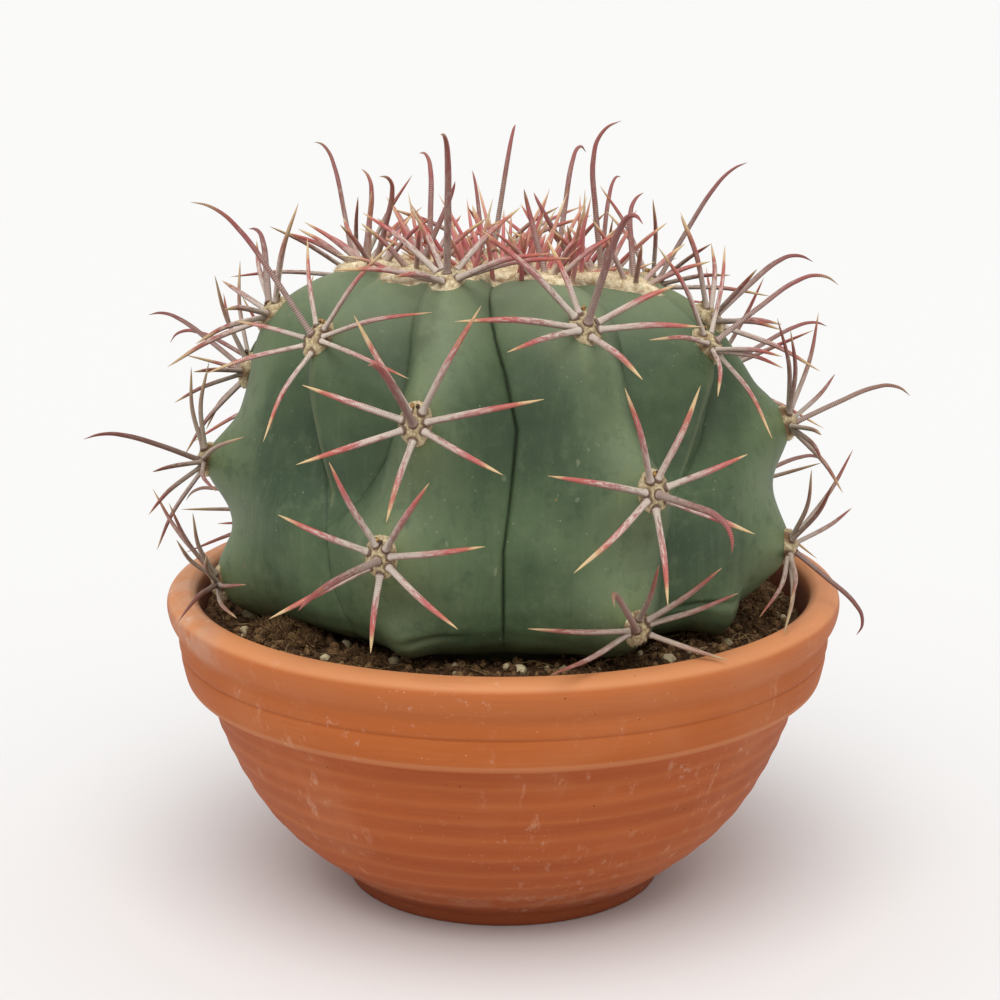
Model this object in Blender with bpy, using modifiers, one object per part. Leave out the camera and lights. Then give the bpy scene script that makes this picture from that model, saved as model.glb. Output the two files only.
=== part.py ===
"""Potted barrel cactus: a ribbed green body with hooked spines, standing in soil in a low
terracotta bowl. The rules below place everything; lengths in the tables are millimetres,
angles are degrees, azimuth 0 is the front (-Y) and grows towards +X."""
import math
import random

import bmesh
import bpy
import numpy as np
from mathutils import Matrix, Vector
from mathutils.bvhtree import BVHTree

MM = 0.001
GAP = 0.3
TOTAL_TURN = 360.0
SHARP_EDGE = 38.0
WELD = 0.0001

# Terracotta bowl, all turned round the Z axis.
POT_STEPS = 36
RIM_RADIUS = 150.0
RIM_HEIGHT = 137.2
RIM_INNER_RADIUS = 138.4
FOOT_RADIUS = 71.0
FOOT_HEIGHT = 6.5
FOOT_RING_WIDTH = 9.0
FOOT_RECESS = 4.0
DRAIN_RADIUS = 8.0
FLOOR_TOP = 12.5
BOWL_PROFILE = (
    (75.5, 9.0), (85.0, 16.5), (95.0, 25.0), (104.3, 34.5), (112.0, 44.6), (117.8, 55.0),
    (123.0, 66.0), (127.2, 77.0), (131.0, 88.0), (133.4, 94.2),
)
INNER_PROFILE = (
    (62.0, 13.5), (78.5, 20.5), (96.0, 36.0), (109.4, 56.5), (118.8, 78.5), (126.5, 97.0),
    (131.6, 112.0), (134.2, 126.5), (136.2, 134.4),
)
COLLAR_PROFILE = ((138.3, 96.3), (141.6, 101.5), (142.4, 107.5))
COLLAR_GROOVE = ((140.9, 110.4), (143.5, 113.0))
LIP_PROFILE = ((144.4, 120.5), (147.6, 126.2), (149.9, 130.6), (RIM_RADIUS, 133.4), (148.2, 135.6))
THROWING_LEVELS = (25.0, 44.6, 66.0, 88.0)
THROWING_RELIEF = 0.5

# Soil filling and the plain hole the plant's neck stands in.
NECK_FLOOR = 107.0
HOLE_RADIUS = 86.8
SOIL_LEVEL = 127.0
SOIL_RELIEF = 1.1
SOIL_DIP = 5.0
SOIL_DIP_AZIMUTH = 95.0
SOIL_RINGS = (97.0, 108.0, 121.0)
SOIL_EDGE = 132.4
STONES = (
    (-76.0, 118.0, 3.4), (-69.0, 125.0, 2.8), (-27.0, 120.0, 2.8), (3.0, 108.0, 3.2),
    (15.0, 110.0, 2.6), (38.0, 119.0, 3.0), (150.0, 116.0, 3.2), (215.0, 121.0, 2.8),
)

# Body of the plant: level, crest radius and crest height of the turned envelope. The level
# is the height down the side and runs on past the shoulder to the middle of the crown.
BODY_PROFILE = (
    (107.0, 86.0, 107.0), (127.0, 86.0, 127.0), (129.0, 90.0, 129.2), (132.0, 98.0, 131.8),
    (136.0, 106.0, 135.8), (142.0, 111.5, 142.0), (152.0, 115.5, 152.0), (166.0, 117.5, 166.0),
    (181.0, 118.0, 181.0), (196.0, 117.0, 196.0), (211.0, 114.5, 211.0), (226.0, 111.0, 226.0),
    (240.0, 106.0, 240.0), (252.0, 96.5, 252.5), (262.0, 86.0, 263.0), (270.0, 75.0, 270.6),
    (276.0, 62.0, 275.2), (280.0, 48.0, 276.6), (284.0, 32.0, 275.0), (288.0, 16.0, 272.6),
    (292.0, 0.0, 271.6),
)
BODY_LEVELS = (
    107.0, 125.5, 129.0, 132.5, 137.0, 143.0, 150.0, 158.0, 167.0, 176.0, 185.5, 195.0, 204.0,
    213.0, 222.0, 231.0, 240.0, 248.5, 256.5, 264.0, 270.5, 276.0, 280.5, 285.0,
)
CREASE_DEPTH = (
    (127.0, 0.0), (129.5, 2.0), (134.0, 5.5), (142.0, 9.0), (160.0, 12.5), (205.0, 15.0),
    (235.0, 16.0), (255.0, 15.0), (268.0, 12.5), (277.0, 9.0), (284.0, 5.0), (292.0, 0.0),
)
LEAN_RIGHT = 0.050
LEAN_BACK = 0.085
LEAN_FROM = 200.0
LEAN_TO = 272.0
SLACK_AZIMUTH = 98.0
SLACK_LEVEL = 255.0
SLACK_DEPTH = 8.0

# Ribs in turn round the body: sharpness of the crest, level where the rib starts, then level
# and azimuth down its crest and down the crease after it. A young rib starts in a point
# between two old ones, so its lines run together below that level.
OLD = 2.1
YOUNG = 1.2
YOUNG_RISE = 58.0
RIBS = (
    (OLD, 0, ((141, -74), (165, -78), (193, -84), (240, -82), (257, -88), (276, -86)),
     ((141, -36), (160, -39), (184, -40.5), (198, -45), (225, -53), (250, -62), (276, -65))),
    (YOUNG, 184, ((141, -36), (160, -39), (184, -40.5), (202, -43), (225, -45.5), (241, -47),
                  (249, -49.5), (276, -49)),
     ((141, -36), (160, -39), (184, -40.5), (194, -36), (205, -32), (215, -28.5), (228, -25.5),
      (241, -25), (255, -27), (276, -33))),
    (OLD, 0, ((141, -21), (179, -22), (205, -21), (227, -17), (256, -19), (279, -20)),
     ((141, 0), (180, 0), (205, 1.6), (228, 3), (249, 0.4), (265, -3), (279, -6))),
    (OLD, 0, ((146, 25), (186, 29), (204, 28), (216, 27), (232, 25), (248, 24.5), (258.5, 21),
              (279, 24)),
     ((141, 35), (196, 40.5), (206, 37), (218, 34), (235, 32.5), (250, 34), (262, 39), (276, 43))),
    (YOUNG, 196, ((141, 35), (196, 40.5), (201, 44), (210, 48.5), (222, 51), (238, 54.5), (250, 61),
                  (276, 66)),
     ((141, 35), (196, 40.5), (207, 51), (217, 58), (235, 66), (255, 71), (276, 76))),
    (OLD, 0, ((141, 72), (160, 74), (190, 78), (213, 80), (260, 80), (276, 84)),
     ((141, 100), (276, 106))),
    (OLD, 0, ((141, 126), (213, 128), (265, 123), (276, 123)),
     ((141, 152), (200, 152), (225, 143), (276, 141))),
    (YOUNG, 200, ((141, 152), (200, 152), (276, 154)),
     ((141, 152), (200, 152), (225, 161), (276, 166))),
    (OLD, 0, ((141, 179), (276, 185)), ((141, 205), (276, 208))),
    (OLD, 0, ((141, 232), (276, 229)),
     ((141, 257), (190, 257), (215, 249), (276, 245))),
    (YOUNG, 190, ((141, 257), (190, 257), (226, 261), (276, 260)),
     ((141, 257), (190, 257), (215, 266), (276, 268))),
)
# Creases that lie flusher than the rest, by the rib before them: level and share of the depth.
FLUSH_CREASES = {
    0: ((184, 0.4), (202, 1.0)),
    1: ((184, 0.4), (198, 1.0)),
    2: ((150, 0.6), (180, 0.5), (245, 0.5), (268, 0.9)),
    3: ((160, 0.8), (196, 0.8), (208, 1.0)),
    4: ((160, 0.8), (196, 0.8), (208, 1.0)),
}
OLD_STEPS = (0.0, 0.3, 0.58, 0.82)
YOUNG_STEPS = (0.0, 0.5)

# Swellings under the areoles: how wide and long they are, and the low folds near the soil
# as azimuth, level, height and reach.
SWELL_WIDTH = 18.0
SWELL_LENGTH = 16.0
FOLDS = ((-21.0, 141.0, 6.0, 9.0), (56.0, 139.0, 9.0, 10.0))

# Areoles: name, rib, level, height of the swelling.
AREOLES = (
    ("left_upper", 0, 251, 5.0), ("left_middle", 0, 193.5, 14.0), ("left_low", 0, 148, 14.5),
    ("young_left", 1, 249, 3.0),
    ("front_crown", 2, 274, 3.0), ("front_upper", 2, 227, 9.0), ("front_low", 2, 180, 13.0),
    ("right_front_upper", 3, 258.5, 4.0), ("right_front_middle", 3, 203, 12.5),
    ("right_front_low", 3, 151, 11.5),
    ("young_right", 4, 250, 4.0),
    ("right_upper", 5, 256, 6.0), ("right_middle", 5, 211, 11.5), ("right_low", 5, 162, 11.5),
    ("back_right_upper", 6, 265, 5.0), ("back_right_middle", 6, 214, 11.5),
    ("back_right_low", 6, 160, 13.0),
    ("young_back_right", 7, 252, 3.0),
    ("back_crown", 8, 278, 3.0), ("back_upper", 8, 232, 8.0), ("back_low", 8, 178, 13.0),
    ("back_left_upper", 9, 262, 5.0), ("back_left_middle", 9, 207, 12.0),
    ("back_left_low", 9, 152, 12.0),
    ("young_back_left", 10, 226, 10.0),
)

# Spines of the areoles: clock angle seen from outside, lift off the surface, length. The
# hooked one in the middle also has the turn of its hook. Areoles without a row of their own
# follow the common pattern, turned and stretched a little by seeded draws.
SPINES = {
    "young_left": (
        (-133, 22, 44), (-96, 18, 38), (-29, 20, 40), (43, 17, 56), (73, 3, 65), (96, 0, 65),
        (154, 16, 55),
    ),
    "front_upper": (
        (-175, 28, 37), (-113, 24, 45), (-73, 24, 43), (-26, 25, 47), (33, 21, 55), (77, 19, 58),
        (110, 26, 47),
    ),
    "front_low": (
        (-120, 24, 46), (-63, 25, 40), (-16, 27, 44), (32, 25, 49), (74, 20, 54), (112, 27, 47),
        (176, 26, 32),
    ),
    "right_front_upper": (
        (-116, 21, 52), (-95, 14, 61), (-52, 22, 54), (-20, 23, 34), (77, 22, 38), (109, 24, 42),
        (177, 33, 45),
    ),
    "right_front_middle": (
        (-167, 27, 42), (-115, 20, 54), (-76, 17, 57), (-27, 24, 49), (17, 26, 43), (71, 23, 36),
        (118, 23, 39),
    ),
    "right_front_low": (
        (-93, 24, 50), (-75, 15, 58), (-11, 35, 43), (39, 27, 40), (62, 25, 39), (149, 46, 34),
    ),
    "young_right": (
        (-145, 8, 56), (-129, 35, 53), (-124, 38, 55), (-115, 7, 54), (-82, 1, 58), (-41, 21, 51),
        (47, 23, 49),
    ),
    "right_upper": (
        (-176, 24, 46), (-105, 23, 49), (-68, 24, 46), (-27, 24, 46), (27, 24, 46), (64, 23, 49),
        (122, 24, 46),
    ),
    "right_middle": (
        (-117, 24, 50), (-98, 18, 49), (-86, 20, 49), (-32, 12, 49), (-26, 6, 51), (27, 24, 46),
        (78, 24, 46),
    ),
    "right_low": (
        (-112, 3, 53), (-104, -2, 55), (-99, 11, 49), (-39, 22, 49), (-36, 10, 50), (27, 24, 46),
        (78, 24, 46),
    ),
    "left_middle": (
        (-157, 21, 49), (28, 1, 50), (28, 10, 47), (67, -15, 61), (84, 25, 50), (89, -6, 54),
        (105, 25, 51),
    ),
    "left_low": (
        (-27, 24, 46), (26, 20, 49), (37, 10, 49), (48, 21, 49), (59, 8, 49), (75, -6, 56),
        (95, 0, 53),
    ),
    "young_back_left": (
        (-176, 24, 46), (-142, 21, 50), (-67, 32, 53), (-27, 24, 46), (27, 24, 46), (84, 16, 44),
        (102, 21, 47),
    ),
    "left_upper": (
        (-176, 24, 46), (-101, 26, 51), (-74, 25, 51), (-27, 24, 46), (27, 24, 46), (94, 21, 49),
        (117, 21, 49),
    ),
    "front_crown": (
        (-176, 24, 46), (-143, 20, 51), (-68, 24, 46), (-38, 17, 43), (22, 20, 45), (96, 16, 54),
        (104, 22, 51),
    ),
    "back_right_upper": (
        (-116, 24, 50), (-87, 17, 44), (-67, 21, 47), (-27, 24, 46), (27, 24, 46), (73, 25, 50),
        (122, 24, 46),
    ),
}
HOOKS = {
    "young_left": (-35, 57, 78, 57),
    "front_upper": (2, 63, 67, 36),
    "front_low": (7, 85, 74, 20),
    "right_front_upper": (-7, 77, 76, 94),
    "right_front_middle": (149, 82, 59, 105),
    "right_front_low": (-40, 32, 73, 64),
    "young_right": (82, 61, 64, 90),
    "right_upper": (90, 51, 67, 72),
    "right_middle": (61, 64, 58, 77),
    "right_low": (177, 59, 52, 99),
    "left_middle": (58, 46, 66, 46),
    "left_low": (74, 13, 70, 73),
    "young_back_left": (-69, 56, 68, 48),
    "left_upper": (-62, 25, 65, 59),
    "front_crown": (134, 79, 80, 71),
    "back_right_upper": (-19, 76, 71, 50),
    "back_left_upper": (-34, 73, 76, 71),
    "crown_ring_1": (53, 61, 50, 94),
    "crown_ring_10": (-140, 69, 59, 91),
    "back_crown": (-64, 83, 66, 84),
    "crown_ring_8": (161, 72, 73, 109),
    "crown_ring_7": (30, 62, 42, 70),
    "crown_ring_2": (10, 66, 42, 60),
    "crown_ring_4": (-20, 68, 40, 60),
    "crown_ring_5": (25, 62, 42, 70),
    "crown_ring_11": (-30, 60, 44, 70),
    "crown_ring_6": (-36, 83, 72, 87),
    "back_upper": (6, 38, 84, 58),
}
COMMON_CLOCKS = (-27, 27, 78, 122, 184, 240, 292)
COMMON_LIFT = 25.0
COMMON_LENGTH = 47.0
COMMON_HOOK = (0, 68, 70, 70)
CROWN_CLOCKS = (-58, 58, 110, 180, 250)
CROWN_LIFT = 38.0
CROWN_LENGTH = 32.0
CROWN_HOOK = (0, 80, 62, 60)
CROWN_RING = ((0, 278), (1, 280), (3, 281), (4, 276), (5, 281), (6, 282), (7, 278), (9, 281),
              (10, 276))
SPINE_RADII = (1.8, 1.35, 0.25)
HOOK_RADII = (2.0, 1.8, 1.5, 1.1, 0.75, 0.3)
SPINE_BOW = 0.05
HOOK_START = 0.66
HOOK_FINE = 36
HOOK_POINTS = (0, 14, 25, 29, 33, 36)
HOOK_EARLY_TURN = 8.0
PAD_WIDTH = 6.3
PAD_LENGTH = 8.2
PAD_RISE = 2.2
PAD_SINK = 6.0
LOWEST_TILT = -0.12

# Young spines of the crown, standing out of a cushion of wool.
CUSHION_RADIUS = 22.0
CUSHION_RISE = 5.0
CROWN_SPINES = 20
CROWN_SPINE_RADII = (1.3, 1.0, 0.25)

# Room kept under the pads, between spines of different clusters, and round everything else.
SEAT_SPREAD = 0.45
SPINE_ROOM = 0.5
BODY_ROOM = 0.8
FREE_ROOT = 0.3
NEAR = 15.0


def smooth(level, knots):
    """Cubic curve through the knots, flat beyond both ends."""
    xs = np.array([k[0] for k in knots], dtype=float)
    ys = np.array([k[1] for k in knots], dtype=float)
    slopes = np.gradient(ys, xs)
    i = int(np.clip(np.searchsorted(xs, level) - 1, 0, len(xs) - 2))
    width = xs[i + 1] - xs[i]
    u = float(np.clip((level - xs[i]) / width, 0.0, 1.0))
    near = ys[i] * (1 + 2 * u) + slopes[i] * width * u
    far = ys[i + 1] * (3 - 2 * u) - slopes[i + 1] * width * (1 - u)
    return near * (1 - u) ** 2 + far * u ** 2


def ease(value, start, end):
    """Smooth step from 0 at start to 1 at end."""
    u = min(max((value - start) / (end - start), 0.0), 1.0)
    return u * u * (3 - 2 * u)


def crease_share(rib, level):
    """Share of the common depth that the crease after a rib has at a level."""
    if rib not in FLUSH_CREASES:
        return 1.0
    return float(np.interp(level, *zip(*FLUSH_CREASES[rib])))


def rib_lines(level):
    """Azimuth, depth below the envelope and sharpness of every crest and crease at a level."""
    depth = float(np.interp(level, *zip(*CREASE_DEPTH)))
    lines = []
    for rib, (sharpness, start, crest, crease) in enumerate(RIBS):
        deep = depth * crease_share(rib, level)
        rise = ease(level, start, start + YOUNG_RISE) if start else 1.0
        lines.append((float(np.interp(level, *zip(*crest))), deep * (1 - rise), sharpness))
        lines.append((float(np.interp(level, *zip(*crease))), deep, 0.0))
    return lines


def envelope(level):
    """Radius, height and outward normal of the turned envelope at a level."""
    radii = [(k[0], k[1]) for k in BODY_PROFILE]
    heights = [(k[0], k[2]) for k in BODY_PROFILE]
    step = 0.5
    rise = smooth(level + step, heights) - smooth(level - step, heights)
    inward = smooth(level - step, radii) - smooth(level + step, radii)
    size = math.hypot(rise, inward)
    return smooth(level, radii), smooth(level, heights), rise / size, inward / size


def place(azimuth, level, offset):
    """Point of the body in millimetres, offset outward from the envelope."""
    radius, height, out, up = envelope(level)
    slack = math.exp(-((azimuth - SLACK_AZIMUTH) / 32) ** 2 - ((level - SLACK_LEVEL) / 20) ** 2)
    radius += out * offset - SLACK_DEPTH * slack
    height += up * offset
    x = radius * math.sin(math.radians(azimuth))
    y = -radius * math.cos(math.radians(azimuth))
    lean = ease(level, LEAN_FROM, LEAN_TO)
    return Vector((x, y, height - lean * (LEAN_RIGHT * x + LEAN_BACK * y)))


def crest_azimuth(rib, level):
    """Azimuth of a rib's crest at a level."""
    return float(np.interp(level, *zip(*RIBS[rib][2])))


def swelling(azimuth, level):
    """How far the areoles' swellings push the surface out at a point."""
    radius = envelope(level)[0]
    total = 0.0
    for _, rib, centre, height in AREOLES:
        turn = (azimuth - crest_azimuth(rib, centre) + 180) % TOTAL_TURN - 180
        across = math.radians(turn) * radius / SWELL_WIDTH
        along = (level - centre) / SWELL_LENGTH
        total += height * math.exp(-across * across - along * along)
    for centre_azimuth, centre, height, reach in FOLDS:
        turn = (azimuth - centre_azimuth + 180) % TOTAL_TURN - 180
        across = math.radians(turn) * radius / reach
        along = (level - centre) / reach
        total += height * math.exp(-across * across - along * along)
    return total * ease(level, 129.0, 137.0)


def body_ring(level, spread=0.0):
    """Closed ring of points at a level: each rib's columns from crest to crease."""
    lines = rib_lines(level)
    count = len(lines)
    ring = []
    for i in range(0, count, 2):
        crest, crest_depth, sharpness = lines[i]
        steps = OLD_STEPS if sharpness == OLD else YOUNG_STEPS
        before, before_depth, _ = lines[i - 1]
        after, after_depth, _ = lines[i + 1]
        before = crest - (crest - before) % TOTAL_TURN
        sides = [(before, before_depth, s) for s in reversed(steps[1:])]
        sides += [(after, after_depth, s) for s in steps]
        sides.append((after, after_depth, 1.0))
        for end, end_depth, s in sides:
            azimuth = crest + (end - crest) * s
            depth = crest_depth + (end_depth - crest_depth) * s ** sharpness
            offset = swelling(azimuth, level) - depth + spread
            ring.append(place(azimuth, level, offset))
    return ring


def link(obj, collection):
    collection.objects.link(obj)
    return obj


def mesh_object(name, bm, collection):
    """Object made from a bmesh, with its faces turned outward."""
    bmesh.ops.recalc_face_normals(bm, faces=bm.faces)
    mesh = bpy.data.meshes.new(name)
    bm.to_mesh(mesh)
    bm.free()
    return link(bpy.data.objects.new(name, mesh), collection)


def loft(rings, top_point, name, collection):
    """Closed skin over rings of equal length, capped below and drawn to a point on top."""
    bm = bmesh.new()
    rows = [[bm.verts.new(p * MM) for p in ring] for ring in rings]
    for lower, upper in zip(rows, rows[1:]):
        for k in range(len(lower)):
            n = (k + 1) % len(lower)
            bm.faces.new((lower[k], lower[n], upper[n], upper[k]))
    tip = bm.verts.new(top_point * MM)
    top = rows[-1]
    for k in range(len(top)):
        bm.faces.new((top[k], top[(k + 1) % len(top)], tip))
    bm.faces.new(list(reversed(rows[0])))
    bmesh.ops.remove_doubles(bm, verts=bm.verts, dist=WELD)
    bmesh.ops.dissolve_degenerate(bm, edges=bm.edges, dist=WELD)
    bmesh.ops.triangulate(bm, faces=bm.faces, quad_method="FIXED")
    return mesh_object(name, bm, collection)


def turned(name, profile, collection, steps, closed=True):
    """Solid made by turning a profile round Z with the Screw modifier."""
    mesh = bpy.data.meshes.new(name)
    points = [(r * MM, 0.0, z * MM) for r, z in profile]
    edges = [(k, (k + 1) % len(points)) for k in range(len(points) if closed else len(points) - 1)]
    mesh.from_pydata(points, edges, [])
    obj = link(bpy.data.objects.new(name, mesh), collection)
    screw = obj.modifiers.new("turn", "SCREW")
    screw.angle = math.tau
    screw.steps = steps
    screw.render_steps = steps
    screw.use_merge_vertices = True
    screw.merge_threshold = WELD
    screw.use_normal_calculate = True
    return obj


def shade(obj):
    """Smooth shading with the edges sharper than the limit kept sharp."""
    obj.data.shade_smooth()
    obj.data.set_sharp_from_angle(angle=math.radians(SHARP_EDGE))


def material(name, colour, roughness):
    mat = bpy.data.materials.new(name)
    mat.use_nodes = True
    shader = mat.node_tree.nodes["Principled BSDF"]
    shader.inputs["Base Color"].default_value = (*colour, 1.0)
    shader.inputs["Roughness"].default_value = roughness
    return mat


def areole_frame(azimuth, level, offset):
    """Centre of an areole with its outward, upward and sideways directions."""
    centre = place(azimuth, level, offset)
    up = place(azimuth, level + 1, offset) - place(azimuth, level - 1, offset)
    side = place(azimuth + 1, level, offset) - place(azimuth - 1, level, offset)
    out = side.cross(up).normalized()
    out.z = max(out.z, LOWEST_TILT)
    out.normalize()
    up = (up - out * up.dot(out)).normalized()
    return centre, out, up, up.cross(out)


def heading(frame, clock, lift):
    """Unit direction of a spine from its clock angle and lift."""
    _, out, up, side = frame
    clock = math.radians(clock)
    lift = math.radians(lift)
    flat = up * math.cos(clock) + side * math.sin(clock)
    return flat * math.cos(lift) + out * math.sin(lift)


def radial_path(frame, clock, lift, length):
    """Gently bowed spine out of the edge of the areole."""
    centre, out, up, side = frame
    turn = math.radians(clock)
    root = centre + up * math.cos(turn) * PAD_LENGTH * 0.7 + side * math.sin(turn) * PAD_WIDTH * 0.7
    root += out * 1.0
    direction = heading(frame, clock, lift)
    count = len(SPINE_RADII) - 1
    path = []
    for i in range(count + 1):
        t = i / count
        path.append(root + direction * length * t + out * SPINE_BOW * length * 4 * t * (1 - t))
    return path


def hooked_path(frame, clock, lift, length, turn):
    """Spine out of the middle of the areole that turns outward and down at its end."""
    centre, out, _, _ = frame
    direction = heading(frame, clock, lift)
    away = Vector((centre.x, centre.y, 0.0)).normalized() * 0.7 - Vector((0.0, 0.0, 1.0))
    away = (away - direction * away.dot(direction)).normalized()
    point = centre + out * 1.0
    trail = [point.copy()]
    for i in range(HOOK_FINE):
        t = (i + 0.5) / HOOK_FINE
        late = max(t - HOOK_START, 0.0) / (1 - HOOK_START)
        angle = math.radians(HOOK_EARLY_TURN * t + (turn - HOOK_EARLY_TURN) * late ** 1.4)
        step = direction * math.cos(angle) + away * math.sin(angle)
        point = point + step * (length / HOOK_FINE)
        trail.append(point.copy())
    return [trail[k] for k in HOOK_POINTS]


def segment_distance(p1, q1, p2, q2):
    """Shortest distances from one segment to many."""
    d1 = q1 - p1
    d2 = q2 - p2
    r = p1 - p2
    a = max(float(d1 @ d1), 1e-9)
    e = np.maximum(np.einsum("ij,ij->i", d2, d2), 1e-9)
    f = np.einsum("ij,ij->i", d2, r)
    c = r @ d1
    b = d2 @ d1
    denom = np.maximum(a * e - b * b, 1e-9)
    s = np.clip((b * f - c * e) / denom, 0.0, 1.0)
    t = np.clip((b * s + f) / e, 0.0, 1.0)
    s = np.clip((b * t - c) / a, 0.0, 1.0)
    gap = r + s[:, None] * d1 - t[:, None] * d2
    return np.sqrt(np.einsum("ij,ij->i", gap, gap))


class Clearance:
    """Keeps the spines placed so far and tells how much room a new one has."""

    def __init__(self, solids, areoles):
        graph = bpy.context.evaluated_depsgraph_get()
        self.trees = [BVHTree.FromObject(solid, graph) for solid in solids]
        self.pads = areoles
        self.owners = []
        self.starts = []
        self.ends = []
        self.thick = []

    def room(self, owner, path, radii):
        """Least spare room of a path; negative where it would touch."""
        spare = min(self.solid_room(path, radii), self.pad_room(owner, path, radii))
        if not self.owners:
            return spare
        others = np.array(self.owners) != owner
        if not others.any():
            return spare
        starts = np.array(self.starts)[others]
        ends = np.array(self.ends)[others]
        thick = np.array(self.thick)[others]
        for p, q, radius in zip(path, path[1:], radii):
            near = segment_distance(np.array(p), np.array(q), starts, ends)
            spare = min(spare, float((near - thick - radius - SPINE_ROOM).min()))
        return spare

    def solid_room(self, path, radii):
        spare = 1000.0
        total = sum((q - p).length for p, q in zip(path, path[1:]))
        gone = 0.0
        for p, q, radius in zip(path, path[1:], radii):
            length = (q - p).length
            for k in range(5):
                t = k / 4
                if (gone + length * t) / total < FREE_ROOT:
                    continue
                point = p.lerp(q, t)
                for tree in self.trees:
                    spot, normal, _, distance = tree.find_nearest(point * MM)
                    if distance > NEAR * MM:
                        continue
                    side = 1.0 if (point * MM - spot).dot(normal) > 0 else -1.0
                    spare = min(spare, side * distance / MM - radius - BODY_ROOM)
            gone += length
        return spare

    def pad_room(self, owner, path, radii):
        starts = np.array([tuple(c) for n, c in self.pads if n != owner])
        spare = 1000.0
        for p, q, radius in zip(path, path[1:], radii):
            near = segment_distance(np.array(p), np.array(q), starts, starts)
            spare = min(spare, float(near.min()) - PAD_LENGTH - radius - SPINE_ROOM)
        return spare

    def keep(self, owner, path, radii):
        for p, q, radius in zip(path, path[1:], radii):
            self.owners.append(owner)
            self.starts.append(tuple(p))
            self.ends.append(tuple(q))
            self.thick.append(radius)


NUDGES = ((0, 0), (0, 6), (7, 0), (-7, 0), (7, 7), (-7, 7), (0, 13), (14, 7), (-14, 7), (0, 20),
          (14, 14), (-14, 14), (30, -4), (-30, -4), (0, 28), (45, -8), (-45, -8), (0, 38),
          (16, 32), (-16, 32), (70, -8), (-70, -8), (0, 50), (24, 46), (-24, 46), (0, 60))
SHORTENING = (1.0, 0.9, 0.78, 0.64, 0.5)


def settle(clearance, owner, shape, clock, lift, length, radii):
    """Nearest free place for a spine, bent clear of everything placed before it."""
    best = None
    for factor in SHORTENING:
        for turn, raise_by in NUDGES:
            path = shape(clock + turn, min(lift + raise_by, 88.0), length * factor)
            spare = clearance.room(owner, path, radii)
            if best is None or spare > best[0]:
                best = (spare, path)
            if spare >= 0:
                clearance.keep(owner, path, radii)
                return path
    clearance.keep(owner, best[1], radii)
    return best[1]


def needle(name, path, radii, section, collection):
    """Solid spine: a curve with a tapering bevel and filled ends."""
    curve = bpy.data.curves.new(name, "CURVE")
    curve.dimensions = "3D"
    curve.bevel_mode = "OBJECT"
    curve.bevel_object = section
    curve.use_fill_caps = True
    spline = curve.splines.new("POLY")
    spline.points.add(len(path) - 1)
    for point, where, radius in zip(spline.points, path, radii):
        point.co = (*(where * MM), 1.0)
        point.radius = radius
    swept = bpy.data.objects.new(name, curve)
    bpy.context.scene.collection.objects.link(swept)
    graph = bpy.context.evaluated_depsgraph_get()
    mesh = bpy.data.meshes.new_from_object(swept.evaluated_get(graph))
    bpy.data.objects.remove(swept, do_unlink=True)
    bm = bmesh.new()
    bm.from_mesh(mesh)
    bmesh.ops.remove_doubles(bm, verts=bm.verts, dist=WELD * 0.2)
    bpy.data.meshes.remove(mesh)
    return mesh_object(name, bm, collection)


def fuse(core, collection, body_room):
    """Joins a collection's solids to the core, then cuts the seat against the body."""
    join = core.modifiers.new("join", "BOOLEAN")
    join.operation = "UNION"
    join.solver = "EXACT"
    join.operand_type = "COLLECTION"
    join.collection = collection
    seat = core.modifiers.new("seat", "BOOLEAN")
    seat.operation = "DIFFERENCE"
    seat.solver = "EXACT"
    seat.object = body_room
    graph = bpy.context.evaluated_depsgraph_get()
    mesh = bpy.data.meshes.new_from_object(core.evaluated_get(graph))
    core.modifiers.clear()
    core.data = mesh
    for obj in list(collection.objects):
        bpy.data.objects.remove(obj, do_unlink=True)
    drop_scraps(mesh)


def drop_scraps(mesh):
    """Keeps the largest connected piece of a mesh."""
    bm = bmesh.new()
    bm.from_mesh(mesh)
    left = set(bm.verts)
    pieces = []
    while left:
        stack = [left.pop()]
        piece = []
        while stack:
            vert = stack.pop()
            piece.append(vert)
            for edge in vert.link_edges:
                other = edge.other_vert(vert)
                if other in left:
                    left.remove(other)
                    stack.append(other)
        pieces.append(piece)
    pieces.sort(key=len)
    scraps = [vert for piece in pieces[:-1] for vert in piece]
    bmesh.ops.delete(bm, geom=scraps, context="VERTS")
    bm.to_mesh(mesh)
    bm.free()


def pad(name, frame, collection):
    """Low oval cushion of felt under an areole's spines."""
    centre, out, up, side = frame
    turn = Matrix((side, up, out)).transposed().to_4x4()
    where = Matrix.Translation((centre + out * (PAD_RISE - PAD_SINK / 2)) * MM) @ turn
    size = Matrix.Diagonal((PAD_WIDTH * MM, PAD_LENGTH * MM, PAD_SINK * MM, 1.0))
    bm = bmesh.new()
    bmesh.ops.create_cone(bm, cap_ends=True, segments=8, radius1=1.0, radius2=0.72, depth=1.0,
                          matrix=where @ size)
    return mesh_object(name, bm, collection)


def applied(obj):
    """Bakes an object's modifiers into its mesh."""
    graph = bpy.context.evaluated_depsgraph_get()
    mesh = bpy.data.meshes.new_from_object(obj.evaluated_get(graph))
    obj.modifiers.clear()
    obj.data = mesh
    return obj


def soil_height(x, y):
    """Relief of the soil's surface, lower towards one side."""
    azimuth = math.degrees(math.atan2(x, -y))
    turn = (azimuth - SOIL_DIP_AZIMUTH + 180) % TOTAL_TURN - 180
    reach = min(max((math.hypot(x, y) - 92.0) / 22.0, 0.0), 1.0)
    dip = SOIL_DIP * math.exp(-(turn / 48.0) ** 2) * reach
    waves = math.sin(x * 0.21 + 1.3) * math.cos(y * 0.17) + 0.6 * math.sin(x * 0.33 + y * 0.41)
    return SOIL_LEVEL - dip + SOIL_RELIEF * waves * reach


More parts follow.
